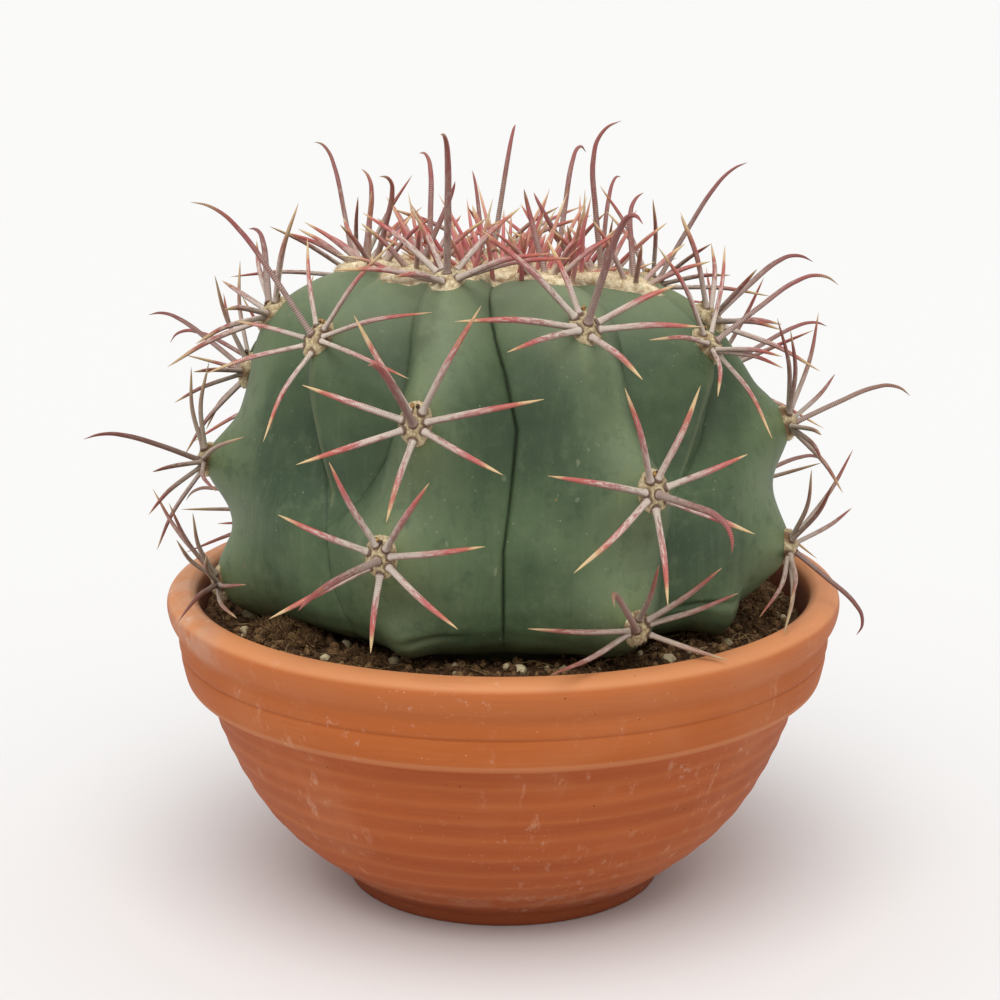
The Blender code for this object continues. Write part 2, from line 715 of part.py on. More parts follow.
for old in list(bpy.data.objects):
    bpy.data.objects.remove(old, do_unlink=True)

part = bpy.data.collections.new("potted_barrel_cactus")
bpy.context.scene.collection.children.link(part)

# Bowl: down the outside, across the foot and the drain hole, and up the inside.
outside = [(RIM_INNER_RADIUS + 1.5, RIM_HEIGHT)]
outside += reversed(LIP_PROFILE)
outside += reversed(COLLAR_GROOVE)
outside += reversed(COLLAR_PROFILE)
outside += [(r + (THROWING_RELIEF if z in THROWING_LEVELS else 0.0), z)
            for r, z in reversed(BOWL_PROFILE)]
outside += [(FOOT_RADIUS + 0.6, FOOT_HEIGHT), (FOOT_RADIUS, 0.0)]
foot_inner = FOOT_RADIUS - FOOT_RING_WIDTH
underside = [(foot_inner, 0.0), (foot_inner - 1.5, FOOT_RECESS), (DRAIN_RADIUS, FOOT_RECESS)]
inside = [(DRAIN_RADIUS, FLOOR_TOP), *INNER_PROFILE, (RIM_INNER_RADIUS, RIM_HEIGHT - 0.4)]
pot = turned("pot", outside + underside + inside, part, POT_STEPS)
pot.data.materials.append(material("terracotta", (0.42, 0.16, 0.06), 0.75))

applied(pot)

rings = [body_ring(level) for level in BODY_LEVELS]
body = loft(rings, place(0.0, 292.0, 0.0), "cactus_body", part)
body.data.materials.append(material("cactus_skin", (0.09, 0.16, 0.10), 0.6))

# Soil: turned to the pot's inside, with a plain hole for the plant.
bed = [(0.0, NECK_FLOOR - GAP), (HOLE_RADIUS, NECK_FLOOR - GAP), (HOLE_RADIUS, SOIL_LEVEL)]
bed += [(r, SOIL_LEVEL) for r in SOIL_RINGS]
wall = [(r - GAP, z + GAP) for r, z in INNER_PROFILE if z < SOIL_LEVEL - SOIL_DIP]
bed += [(SOIL_EDGE, SOIL_LEVEL), *reversed(wall), (0.0, FLOOR_TOP + GAP)]
soil = applied(turned("soil", bed, part, POT_STEPS, closed=False))
soil.data.materials.append(material("potting_soil", (0.05, 0.03, 0.02), 0.95))
for vertex in soil.data.vertices:
    if vertex.co.z > (SOIL_LEVEL - 0.5) * MM:
        vertex.co.z = soil_height(vertex.co.x / MM, vertex.co.y / MM) * MM

cutters = bpy.data.collections.new("cutters")
bpy.context.scene.collection.children.link(cutters)
wide_rings = [body_ring(level, SEAT_SPREAD) for level in BODY_LEVELS]
body_room = loft(wide_rings, place(0.0, 292.0, SEAT_SPREAD), "body_room", cutters)

section_curve = bpy.data.curves.new("spine_section", "CURVE")
section_curve.dimensions = "2D"
outline = section_curve.splines.new("POLY")
outline.points.add(2)
for k, point in enumerate(outline.points):
    turn = math.tau * k / 3
    point.co = (math.cos(turn) * MM, math.sin(turn) * MM, 0.0, 1.0)
outline.use_cyclic_u = True
section = link(bpy.data.objects.new("spine_section", section_curve), cutters)
for helper in cutters.objects:
    helper.hide_render = True
    helper.display_type = "WIRE"

# Areoles: the named ones down the ribs, then the ring round the crown.
frames = []
for name, rib, level, height in AREOLES:
    azimuth = crest_azimuth(rib, level)
    offset = swelling(azimuth, level) - rib_lines(level)[2 * rib][1]
    frames.append((name, areole_frame(azimuth, level, offset)))
for rib, level in CROWN_RING:
    azimuth = crest_azimuth(rib, level)
    frames.append((f"crown_ring_{rib + 1}", areole_frame(azimuth, level, 0.0)))
crown_centre = place(0.0, 292.0, 0.0)
centres = [(name, frame[0]) for name, frame in frames]

rng = random.Random(7)
clearance = Clearance((body, soil, pot), centres)
felt = material("areole_felt", (0.38, 0.29, 0.18), 0.9)
horn = material("spine_horn", (0.32, 0.14, 0.12), 0.5)
bunch = bpy.data.collections.new("bunch")
bpy.context.scene.collection.children.link(bunch)

for name, frame in frames:
    crown_member = name.startswith("crown_ring")
    radials = SPINES.get(name)
    hook = HOOKS.get(name)
    if radials is None:
        clocks = CROWN_CLOCKS if crown_member else COMMON_CLOCKS
        lift = CROWN_LIFT if crown_member else COMMON_LIFT
        length = CROWN_LENGTH if crown_member else COMMON_LENGTH
        radials = [(clock + rng.uniform(-7, 7), lift + rng.uniform(-5, 5),
                    length * rng.uniform(0.88, 1.14)) for clock in clocks]
    if hook is None:
        base = CROWN_HOOK if crown_member else COMMON_HOOK
        hook = (base[0] + rng.uniform(-50, 50), base[1] + rng.uniform(-6, 4),
                base[2] * rng.uniform(0.88, 1.08), base[3] + rng.uniform(-15, 20))
    areole = pad(name, frame, part)
    areole.data.materials.append(felt)
    path = settle(clearance, name, lambda c, l, s: hooked_path(frame, c, l, s, hook[3]),
                  *hook[:3], HOOK_RADII)
    needle("hook", path, HOOK_RADII, section, bunch)
    for clock, lift, length in radials:
        path = settle(clearance, name, lambda c, l, s: radial_path(frame, c, l, s),
                      clock, lift, length, SPINE_RADII)
        needle("radial", path, SPINE_RADII, section, bunch)
    fuse(areole, bunch, body_room)
    areole.data.materials.append(horn)

bm = bmesh.new()
shape = Matrix.Translation(crown_centre * MM) @ Matrix.Diagonal(
    (CUSHION_RADIUS * MM, CUSHION_RADIUS * MM, CUSHION_RISE * MM, 1.0))
bmesh.ops.create_icosphere(bm, subdivisions=2, radius=1.0, matrix=shape)
crown = mesh_object("crown", bm, part)
crown.data.materials.append(felt)
up = Vector((LEAN_RIGHT, LEAN_BACK, 1.0)).normalized()
side = up.cross(Vector((0.0, 1.0, 0.0))).normalized()
crown_frame = (crown_centre + up * 2.0, up, side, up.cross(side))
for k in range(CROWN_SPINES):
    turn = math.radians(137.5 * k)
    reach = CUSHION_RADIUS * 0.82 * math.sqrt((k + 0.5) / CROWN_SPINES)
    root = crown_frame[0] + side * math.cos(turn) * reach + crown_frame[3] * math.sin(turn) * reach
    lift = 78.0 - 24.0 * reach / CUSHION_RADIUS + rng.uniform(-8, 8)
    length = rng.uniform(20, 34)
    clock = 137.5 * k + rng.uniform(-25, 25)

    def young(c, l, s):
        direction = heading(crown_frame, c, l)
        return [root - up * 2.0, root + direction * s * 0.5, root + direction * s]

    path = settle(clearance, "crown", young, clock, lift, length, CROWN_SPINE_RADII)
    needle("young", path, CROWN_SPINE_RADII, section, bunch)
fuse(crown, bunch, body_room)
crown.data.materials.append(horn)

# Gravel sunk in the soil and fused with it.
for azimuth, distance, radius in STONES:
    x = distance * math.sin(math.radians(azimuth))
    y = -distance * math.cos(math.radians(azimuth))
    spot = Vector((x, y, soil_height(x, y) + radius * 0.15))
    bm = bmesh.new()
    bmesh.ops.create_icosphere(bm, subdivisions=1, radius=1.0,
                               matrix=Matrix.Translation(spot * MM) @ Matrix.Rotation(x, 4, "Z")
                               @ Matrix.Diagonal((radius * MM, radius * MM * 0.8, radius * MM * 0.7,
                                                  1.0)))
    mesh_object("stone", bm, bunch)
fuse(soil, bunch, body_room)

for obj in part.objects:
    shade(obj)
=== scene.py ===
"""Looks of the potted barrel cactus: skin, spines, felt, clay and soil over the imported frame.
Lengths in the tables are millimetres, angles are degrees, azimuth 0 is the front (-Y) and
grows towards +X."""
import math
import random

import bmesh
import bpy
import numpy as np
from mathutils import Euler, Matrix, Vector, noise


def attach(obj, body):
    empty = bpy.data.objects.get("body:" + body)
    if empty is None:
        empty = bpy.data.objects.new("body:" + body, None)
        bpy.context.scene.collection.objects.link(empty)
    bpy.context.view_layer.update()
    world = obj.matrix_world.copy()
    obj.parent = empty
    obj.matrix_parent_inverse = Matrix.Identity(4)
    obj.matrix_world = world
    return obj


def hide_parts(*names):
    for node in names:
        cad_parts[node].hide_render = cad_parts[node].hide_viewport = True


MM = 0.001
SHORTEST_EDGE = 0.01
TOTAL_TURN = 360.0
BODY = "root"

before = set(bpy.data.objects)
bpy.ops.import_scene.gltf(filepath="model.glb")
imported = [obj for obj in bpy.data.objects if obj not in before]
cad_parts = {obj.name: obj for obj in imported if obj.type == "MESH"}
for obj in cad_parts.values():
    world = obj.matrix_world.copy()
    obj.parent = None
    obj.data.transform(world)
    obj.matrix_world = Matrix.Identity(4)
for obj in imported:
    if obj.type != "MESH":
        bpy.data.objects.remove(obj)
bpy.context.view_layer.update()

# Envelope of the cactus, its lean and its ribs, as in the solid.
BODY_PROFILE = (
    (107, 86, 107), (127, 86, 127), (129, 90, 129.2), (132, 98, 131.8),
    (136, 106, 135.8), (142, 111.5, 142), (152, 115.5, 152), (166, 117.5, 166),
    (181, 118, 181), (196, 117, 196), (211, 114.5, 211), (226, 111, 226),
    (240, 106, 240), (252, 96.5, 252.5), (262, 86, 263), (270, 75, 270.6),
    (276, 62, 275.2), (280, 48, 276.6), (284, 32, 275), (288, 16, 272.6),
    (292, 0, 271.6),
)
CREASE_DEPTH = (
    (127, 0), (129.5, 2), (134, 5.5), (142, 9), (160, 12.5), (205, 15),
    (235, 16), (255, 15), (268, 12.5), (277, 9), (284, 5), (292, 0),
)
LEAN_RIGHT = 0.050
LEAN_BACK = 0.085
LEAN_FROM = 200.0
LEAN_TO = 272.0
CROWN_LEVEL = 292.0
SLACK_AZIMUTH = 98.0
SLACK_LEVEL = 255.0
SLACK_DEPTH = 8.0
SLACK_WIDTH = 32.0
SLACK_LENGTH = 20.0
OLD = 2.1
YOUNG = 1.2
YOUNG_RISE = 58.0
RIBS = (
    (OLD, 0, ((141, -74), (165, -78), (193, -84), (240, -82), (257, -88), (276, -86)),
     ((141, -36), (160, -39), (184, -40.5), (198, -45), (225, -53), (250, -62), (276, -65))),
    (YOUNG, 184, ((141, -36), (160, -39), (184, -40.5), (202, -43), (225, -45.5), (241, -47),
                  (249, -49.5), (276, -49)),
     ((141, -36), (160, -39), (184, -40.5), (194, -36), (205, -32), (215, -28.5), (228, -25.5),
      (241, -25), (255, -27), (276, -33))),
    (OLD, 0, ((141, -21), (179, -22), (205, -21), (227, -17), (256, -19), (279, -20)),
     ((141, 0), (180, 0), (205, 1.6), (228, 3), (249, 0.4), (265, -3), (279, -6))),
    (OLD, 0, ((146, 25), (186, 29), (204, 28), (216, 27), (232, 25), (248, 24.5), (258.5, 21),
              (279, 24)),
     ((141, 35), (196, 40.5), (206, 37), (218, 34), (235, 32.5), (250, 34), (262, 39), (276, 43))),
    (YOUNG, 196, ((141, 35), (196, 40.5), (201, 44), (210, 48.5), (222, 51), (238, 54.5),
                  (250, 61), (276, 66)),
     ((141, 35), (196, 40.5), (207, 51), (217, 58), (235, 66), (255, 71), (276, 76))),
    (OLD, 0, ((141, 72), (160, 74), (190, 78), (213, 80), (260, 80), (276, 84)),
     ((141, 100), (276, 106))),
    (OLD, 0, ((141, 126), (213, 128), (265, 123), (276, 123)),
     ((141, 152), (200, 152), (225, 143), (276, 141))),
    (YOUNG, 200, ((141, 152), (200, 152), (276, 154)),
     ((141, 152), (200, 152), (225, 161), (276, 166))),
    (OLD, 0, ((141, 179), (276, 185)), ((141, 205), (276, 208))),
    (OLD, 0, ((141, 232), (276, 229)),
     ((141, 257), (190, 257), (215, 249), (276, 245))),
    (YOUNG, 190, ((141, 257), (190, 257), (226, 261), (276, 260)),
     ((141, 257), (190, 257), (215, 266), (276, 268))),
)
FLUSH_CREASES = {
    0: ((184, 0.4), (202, 1)),
    1: ((184, 0.4), (198, 1)),
    2: ((150, 0.6), (180, 0.5), (245, 0.5), (268, 0.9)),
    3: ((160, 0.8), (196, 0.8), (208, 1)),
    4: ((160, 0.8), (196, 0.8), (208, 1)),
}
SWELL_WIDTH = 18.0
SWELL_LENGTH = 16.0
SWELL_START = (129.0, 137.0)
FOLDS = ((-21, 141, 6, 9), (56, 139, 9, 10))
# Areoles: node, rib, level, swelling, age and thickness of the spines.
AREOLES = (
    ("left_upper", 0, 251, 5, 0.7, 0.86), ("left_middle", 0, 193.5, 14, 0.9, 0.72),
    ("left_low", 0, 148, 14.5, 1.0, 0.72), ("young_left", 1, 249, 3, 0.5, 0.72),
    ("front_crown", 2, 274, 3, 0.45, 0.9), ("front_upper", 2, 227, 9, 0.5, 0.96),
    ("front_low", 2, 180, 13, 0.5, 0.96), ("right_front_upper", 3, 258.5, 4, 0.5, 0.96),
    ("right_front_middle", 3, 203, 12.5, 0.5, 0.96), ("right_front_low", 3, 151, 11.5, 0.9, 0.84),
    ("young_right", 4, 250, 4, 0.6, 0.72), ("right_upper", 5, 256, 6, 0.7, 0.8),
    ("right_middle", 5, 211, 11.5, 0.85, 0.72), ("right_low", 5, 162, 11.5, 0.9, 0.72),
    ("back_right_upper", 6, 265, 5, 0.7, 0.72), ("back_right_middle", 6, 214, 11.5, 0.5, 0.72),
    ("back_right_low", 6, 160, 13, 1.0, 0.72), ("young_back_right", 7, 252, 3, 0.5, 0.72),
    ("back_crown", 8, 278, 3, 0.45, 0.72), ("back_upper", 8, 232, 8, 0.6, 0.72),
    ("back_low", 8, 178, 13, 0.8, 0.72), ("back_left_upper", 9, 262, 5, 0.7, 0.72),
    ("back_left_middle", 9, 207, 12, 0.5, 0.72), ("back_left_low", 9, 152, 12, 1.0, 0.72),
    ("young_back_left", 10, 226, 10, 0.8, 0.72),
)
CROWN_RING = ((0, 278), (1, 280), (3, 281), (4, 276), (5, 281), (6, 282), (7, 278), (9, 281),
              (10, 276))
LOWEST_TILT = -0.12

# Fine skin: rows up the body, columns from crest to crease, and the slit along each crease.
SKIN_ROWS = 215
SKIN_LEVELS = (112.0, 126.0, 290.5)
HALF_RIB = (0.0, 0.06, 0.12, 0.19, 0.27, 0.36, 0.45, 0.54, 0.63, 0.71, 0.78, 0.84, 0.89, 0.93,
            0.96, 0.98, 0.992)
SKIN_WELD = 0.02
SLIT_DEPTH = 2.0
SLIT_WIDTH = 0.5
SLIT_SHARE = {0: 0.55, 1: 0.12, 3: 0.2, 4: 0.2, 6: 0.35, 7: 0.35, 9: 0.35, 10: 0.35}
SLIT_OPENS = (132.0, 150.0)
SLIT_CLOSES = (266.0, 282.0)
# Thin line of painted shade along each crease: its width, and the levels where it comes in.
CREASE_SHADE_WIDTH = 0.36
CREASE_SHADE_OPENS = (130.0, 146.0)
KEEL_WIDTH = 0.9
KEEL_HEIGHT = 0.35
KEEL_STARTS = (0.0, 0.1)
KEEL_ENDS = (238.0, 252.0)
CREST_POWER = 1.6
YOUNG_CREST = 0.3
SKIN_WAVES = ((0.35, 13.0, 1), (0.12, 4.5, 2))
WAVES_START = (128.0, 140.0)
PINCHES = ((-15.5, 143, 5.5, 1.8, 1.2), (50, 146, 7, 2, 1.3), (29, 171, 3, 0.7, 1))
NEAR_WIDTH = 11.0
NEAR_LENGTH = 12.0
# How far below each areole its patch of painted shade lies, in millimetres.
SHADE_BELOW_AREOLE = 18.0


def smooth(level, knots):
    """Cubic curve through the knots, flat beyond both ends."""
    xs, ys = np.array(knots, dtype=float).T
    slopes = np.gradient(ys, xs)
    level = np.asarray(level, dtype=float)
    i = np.clip(np.searchsorted(xs, level) - 1, 0, len(xs) - 2)
    width = xs[i + 1] - xs[i]
    u = np.clip((level - xs[i]) / width, 0.0, 1.0)
    near = ys[i] * (1 + 2 * u) + slopes[i] * width * u
    far = ys[i + 1] * (3 - 2 * u) - slopes[i + 1] * width * (1 - u)
    return near * (1 - u) ** 2 + far * u ** 2


def straight(level, knots):
    """Straight reading between the knots."""
    return np.interp(level, *zip(*knots))


def ease(value, start, end):
    """Smooth step from 0 at start to 1 at end."""
    u = np.clip((np.asarray(value, dtype=float) - start) / (end - start), 0.0, 1.0)
    return u * u * (3 - 2 * u)


def bell(across, wide, along=0.0, tall=1.0):
    """Bell-shaped falloff from 1 in the middle, over one or two directions."""
    return np.exp(-(across / wide) ** 2 - (along / tall) ** 2)


def turn_between(azimuth, centre):
    """Signed angle from a centre to an azimuth."""
    return (np.asarray(azimuth) - centre + 180.0) % TOTAL_TURN - 180.0


def arc(azimuth, where, radius):
    """Way round the body from an azimuth to each point."""
    return np.radians(turn_between(azimuth, where)) * radius


def envelope(level):
    """Radius, height and outward normal of the turned envelope at a level."""
    radii = [(k[0], k[1]) for k in BODY_PROFILE]
    heights = [(k[0], k[2]) for k in BODY_PROFILE]
    step = 0.5
    rise = smooth(level + step, heights) - smooth(level - step, heights)
    inward = smooth(level - step, radii) - smooth(level + step, radii)
    size = np.hypot(rise, inward)
    return smooth(level, radii), smooth(level, heights), rise / size, inward / size


def place(azimuth, level, offset):
    """Point of the body in millimetres, offset outward from the envelope."""
    azimuth = np.asarray(azimuth, dtype=float)
    level = np.asarray(level, dtype=float)
    radius, height, out, up = envelope(level)
    slack = bell(azimuth - SLACK_AZIMUTH, SLACK_WIDTH, level - SLACK_LEVEL, SLACK_LENGTH)
    radius = radius + out * offset - SLACK_DEPTH * slack
    height = height + up * offset
    x = radius * np.sin(np.radians(azimuth))
    y = -radius * np.cos(np.radians(azimuth))
    lean = ease(level, LEAN_FROM, LEAN_TO)
    return np.stack((x, y, height - lean * (LEAN_RIGHT * x + LEAN_BACK * y)), axis=-1)


def crest_azimuth(rib, level):
    return straight(level, RIBS[rib][2])


def crease_azimuth(rib, level):
    return straight(level, RIBS[rib][3])


def crease_depth(rib, level):
    """How deep the crease after a rib lies under the envelope."""
    depth = straight(level, CREASE_DEPTH)
    if rib in FLUSH_CREASES:
        depth = depth * straight(level, FLUSH_CREASES[rib])
    return depth


def crest_depth(rib, level):
    """How far a rib's crest lies under the envelope: a young rib rises out of its crease."""
    start = RIBS[rib][1]
    if not start:
        return np.zeros_like(np.asarray(level, dtype=float))
    return crease_depth(rib, level) * (1 - ease(level, start, start + YOUNG_RISE))


def swelling(azimuth, level):
    """How far the areoles' swellings and the low folds push the surface out."""
    radius = envelope(level)[0]
    total = np.zeros_like(radius)
    spots = [(crest_azimuth(rib, centre), centre, height, SWELL_WIDTH, SWELL_LENGTH)
             for _, rib, centre, height, *_ in AREOLES]
    spots += [(*fold, fold[-1]) for fold in FOLDS]
    for where, centre, height, wide, tall in spots:
        across = arc(azimuth, where, radius)
        total = total + height * bell(across, wide, level - centre, tall)
    return total * ease(level, *SWELL_START)


def areole_frame(rib, level, offset):
    """Centre of an areole with its outward, upward and sideways directions."""
    azimuth = float(crest_azimuth(rib, level))
    centre = Vector(place(azimuth, level, offset))
    up = Vector(place(azimuth, level + 1, offset) - place(azimuth, level - 1, offset))
    side = Vector(place(azimuth + 1, level, offset) - place(azimuth - 1, level, offset))
    out = side.cross(up).normalized()
    out.z = max(out.z, LOWEST_TILT)
    out.normalize()
    up = (up - out * up.dot(out)).normalized()
    return centre, out, up, up.cross(out)


def areole_frames():
    """Frame of every areole, by the name of its node."""
    frames = {}
    for name, rib, level, *_ in AREOLES:
        azimuth = crest_azimuth(rib, level)
        offset = float(swelling(azimuth, float(level)) - crest_depth(rib, level))
        frames[name] = areole_frame(rib, level, offset)
    for rib, level in CROWN_RING:
        frames[f"crown_ring_{rib + 1}"] = areole_frame(rib, level, 0.0)
    return frames


def linked(name, data):
    """New object of the scene that shows a mesh, a curve, a light or a camera."""
    piece = bpy.data.objects.new(name, data)
    bpy.context.scene.collection.objects.link(piece)
    return piece


def keep_values(piece, **layers):
    """Stores one number per corner point for the material to read."""
    for name, numbers in layers.items():
        layer = piece.data.attributes.new(name, "FLOAT", "POINT")
        layer.data.foreach_set("value", np.asarray(numbers, dtype=np.float32).ravel())


def mesh_piece(name, places, faces, finish, weld=0.0, **values):
    """Object at the origin from places in millimetres and faces turned outward, with the
    values its material reads. Corners closer together than the weld become one."""
    mesh = bpy.data.meshes.new(name)
    mesh.materials.append(finish)
    mesh.from_pydata((np.asarray(places) * MM).tolist(), [], faces)
    piece = linked(name, mesh)
    keep_values(piece, **values)
    bm = bmesh.new()
    bm.from_mesh(mesh)
    if weld:
        bmesh.ops.remove_doubles(bm, verts=bm.verts, dist=weld * MM)
        bmesh.ops.dissolve_degenerate(bm, edges=bm.edges, dist=SHORTEST_EDGE * MM)
    bmesh.ops.recalc_face_normals(bm, faces=bm.faces)
    bm.to_mesh(mesh)
    bm.free()
    mesh.shade_smooth()
    return piece


def ball_piece(name, bm, finish):
    """Object from a mesh of balls that is still open."""
    mesh = bpy.data.meshes.new(name)
    bm.to_mesh(mesh)
    bm.free()
    mesh.materials.append(finish)
    return linked(name, mesh)


def grid_faces(rows, columns, first_cap=False, last_cap=False, endless=False):
    """Quads over closed rings of points, one ring to a row, with a face over either end, or
    endless with the last ring joined to the first."""
    faces = []
    for r in range(rows if endless else rows - 1):
        this, next_ = r * columns, (r + 1) % rows * columns
        for c in range(columns):
            n = (c + 1) % columns
            faces.append((this + c, this + n, next_ + n, next_ + c))
    if first_cap:
        faces.append(tuple(range(columns)))
    if last_cap:
        faces.append(tuple(range((rows - 1) * columns, rows * columns)))
    return faces


def grains(points, layers):
    """Smooth noise at each point, added up from layers of a height, a size and a seed."""
    total = 0.0
    for height, size, seed in layers:
        shift = Vector((seed * 17.3, seed * 5.1, seed * 9.7))
        total += height * np.array([noise.noise(Vector(p) / size + shift) for p in points])
    return total


# Shader and geometry trees.
def arithmetic(operation, reflected=False):
    """Operator of a Value that adds one Math node."""
    def apply(value, other):
        pair = (other, value) if reflected else (value, other)
        return value.graph.maths(operation, *pair)
    return apply


class Value:
    """A node's output socket that adds and multiplies like a number."""

    def __init__(self, graph, socket):
        self.graph = graph
        self.socket = socket

    __add__ = __radd__ = arithmetic("ADD")
    __mul__ = __rmul__ = arithmetic("MULTIPLY")
    __sub__ = arithmetic("SUBTRACT")
    __rsub__ = arithmetic("SUBTRACT", True)
    __truediv__ = arithmetic("DIVIDE")
    __rtruediv__ = arithmetic("DIVIDE", True)
    __pow__ = arithmetic("POWER")


class Graph:
    """A node tree and the few ways in which nodes are added to it."""

    def __init__(self, tree):
        self.tree = tree

    def node(self, kind, inputs=None, output=0, **settings):
        """Adds a node: its settings first, then its sockets. Returns one output."""
        made = self.tree.nodes.new(kind)
        for key, value in settings.items():
            setattr(made, key, value)
        for key, value in (inputs or {}).items():
            if isinstance(value, Value):
                self.tree.links.new(value.socket, made.inputs[key])
            else:
                made.inputs[key].default_value = value
        return Value(self, made.outputs[output])

    def maths(self, operation, *values):
        return self.node("ShaderNodeMath", dict(enumerate(values)), operation=operation)

    def combine(self, *values):
        """Vector from its components."""
        return self.node("ShaderNodeCombineXYZ", dict(enumerate(values)))

    def noise(self, where, scale, detail, roughness):
        return self.node("ShaderNodeTexNoise", {"Vector": where, "Scale": scale, "Detail": detail,
                                                "Roughness": roughness}, "Fac")


class Finish(Graph):
    """A Principled material under construction. It reads Object coordinates."""

    def __init__(self, name, roughness, specular):
        self.material = bpy.data.materials.new(name)
        self.material.use_nodes = True
        super().__init__(self.material.node_tree)
        self.shader = self.tree.nodes["Principled BSDF"]
        self.shader.inputs["Roughness"].default_value = roughness
        self.shader.inputs["Specular IOR Level"].default_value = specular
        self.place = self.node("ShaderNodeTexCoord", output="Object")
        self.base = None

    def layer(self, name):
        """Number kept on the piece under a name."""
        return self.node("ShaderNodeAttribute", output="Fac", attribute_name=name)

    def axis(self, name):
        """One of the Object coordinates, in metres."""
        return self.node("ShaderNodeSeparateXYZ", {0: self.place}, name)

    def cloud(self, size, detail=2.0, roughness=0.5, squeeze=None):
        """Noise with clouds about that many metres across, longer along a squeezed axis."""
        where = self.place
        if squeeze:
            where = self.node("ShaderNodeMapping", {"Vector": where, "Scale": squeeze})
        return self.noise(where, 1.0 / size, detail, roughness)

    def dots(self, size, inner, outer):
        """Round dots on a loose grid of that many metres, fading between two radii."""
        cells = self.node("ShaderNodeTexVoronoi", {"Vector": self.place, "Scale": 1.0 / size})
        return self.fade(cells, inner, outer)

    def step(self, value, start, end, low=0.0, high=1.0):
        """Smooth step of a value between two limits."""
        return self.node("ShaderNodeMapRange", {"Value": value, "From Min": start, "From Max": end,
                                                "To Min": low, "To Max": high},
                         interpolation_type="SMOOTHSTEP")

    def fade(self, value, start, end):
        """Smooth step downward."""
        return self.step(value, start, end, 1.0, 0.0)

    def blend(self, factor, first, second):
        """Colour mix."""
        return self.node("ShaderNodeMix", {0: factor, 6: first, 7: second}, 2, data_type="RGBA")

    def ramp(self, value, *stops):
        """Colour read off stops, each a position and a shade."""
        made = self.node("ShaderNodeValToRGB", {0: value}, "Color")
        elements = made.socket.node.color_ramp.elements
        while len(elements) < len(stops):
            elements.new(0.5)
        for element, (position, *shade) in zip(elements, stops):
            element.position = position
            element.color = paint(*shade)
        return made

    def lay(self, mask, *shade):
        """Lays a shade over the colour so far."""
        self.base = self.blend(mask, self.base, paint(*shade))

    def done(self, relief=None, metres=0.0, strength=0.0, rough=None):
        """Wires up the colour, the relief and the roughness."""
        if relief:
            relief = self.node("ShaderNodeBump", {"Height": relief, "Distance": metres,
                                                  "Strength": strength})
        for name, value in (("Base Color", self.base), ("Normal", relief), ("Roughness", rough)):
            if value:
                self.tree.links.new(value.socket, self.shader.inputs[name])
        return self.material


def paint(*shades):
    """Linear colour from the shades a screen shows, 0 to 255."""
    shares = [shade / 255.0 for shade in shades]
    return (*(s / 12.92 if s <= 0.04045 else ((s + 0.055) / 1.055) ** 2.4 for s in shares), 1.0)


# Materials. The heights at which a look starts and ends are metres above the floor.
CROWN_PALE_AND_TOP_LIGHT = (0.245, 0.275)
SOIL_STAIN = (0.128, 0.150)
HOLLOW_SHADE_START = (0.185, 0.225)
HOLLOW_SHADE_END = (0.246, 0.268)
COLLAR_START = (0.0945, 0.0965)
STEP_START = (0.0968, 0.0982)
STEP_END = (0.0992, 0.1004)
COLLAR_PALE = (0.112, 0.124)
RIM_DUST = (0.115, 0.13)
LIP_HIGHLIGHT = (0.1325, 0.1348)
LIP_SMOOTH = (0.122, 0.134)
FOOT_DARK = (0.0, 0.02)
TIDE_START = (0.006, 0.018)
TIDE_END = (0.018, 0.030)
RUNS_END = (0.094, 0.096)
INSIDE_DARK_END = (0.129, 0.1365)


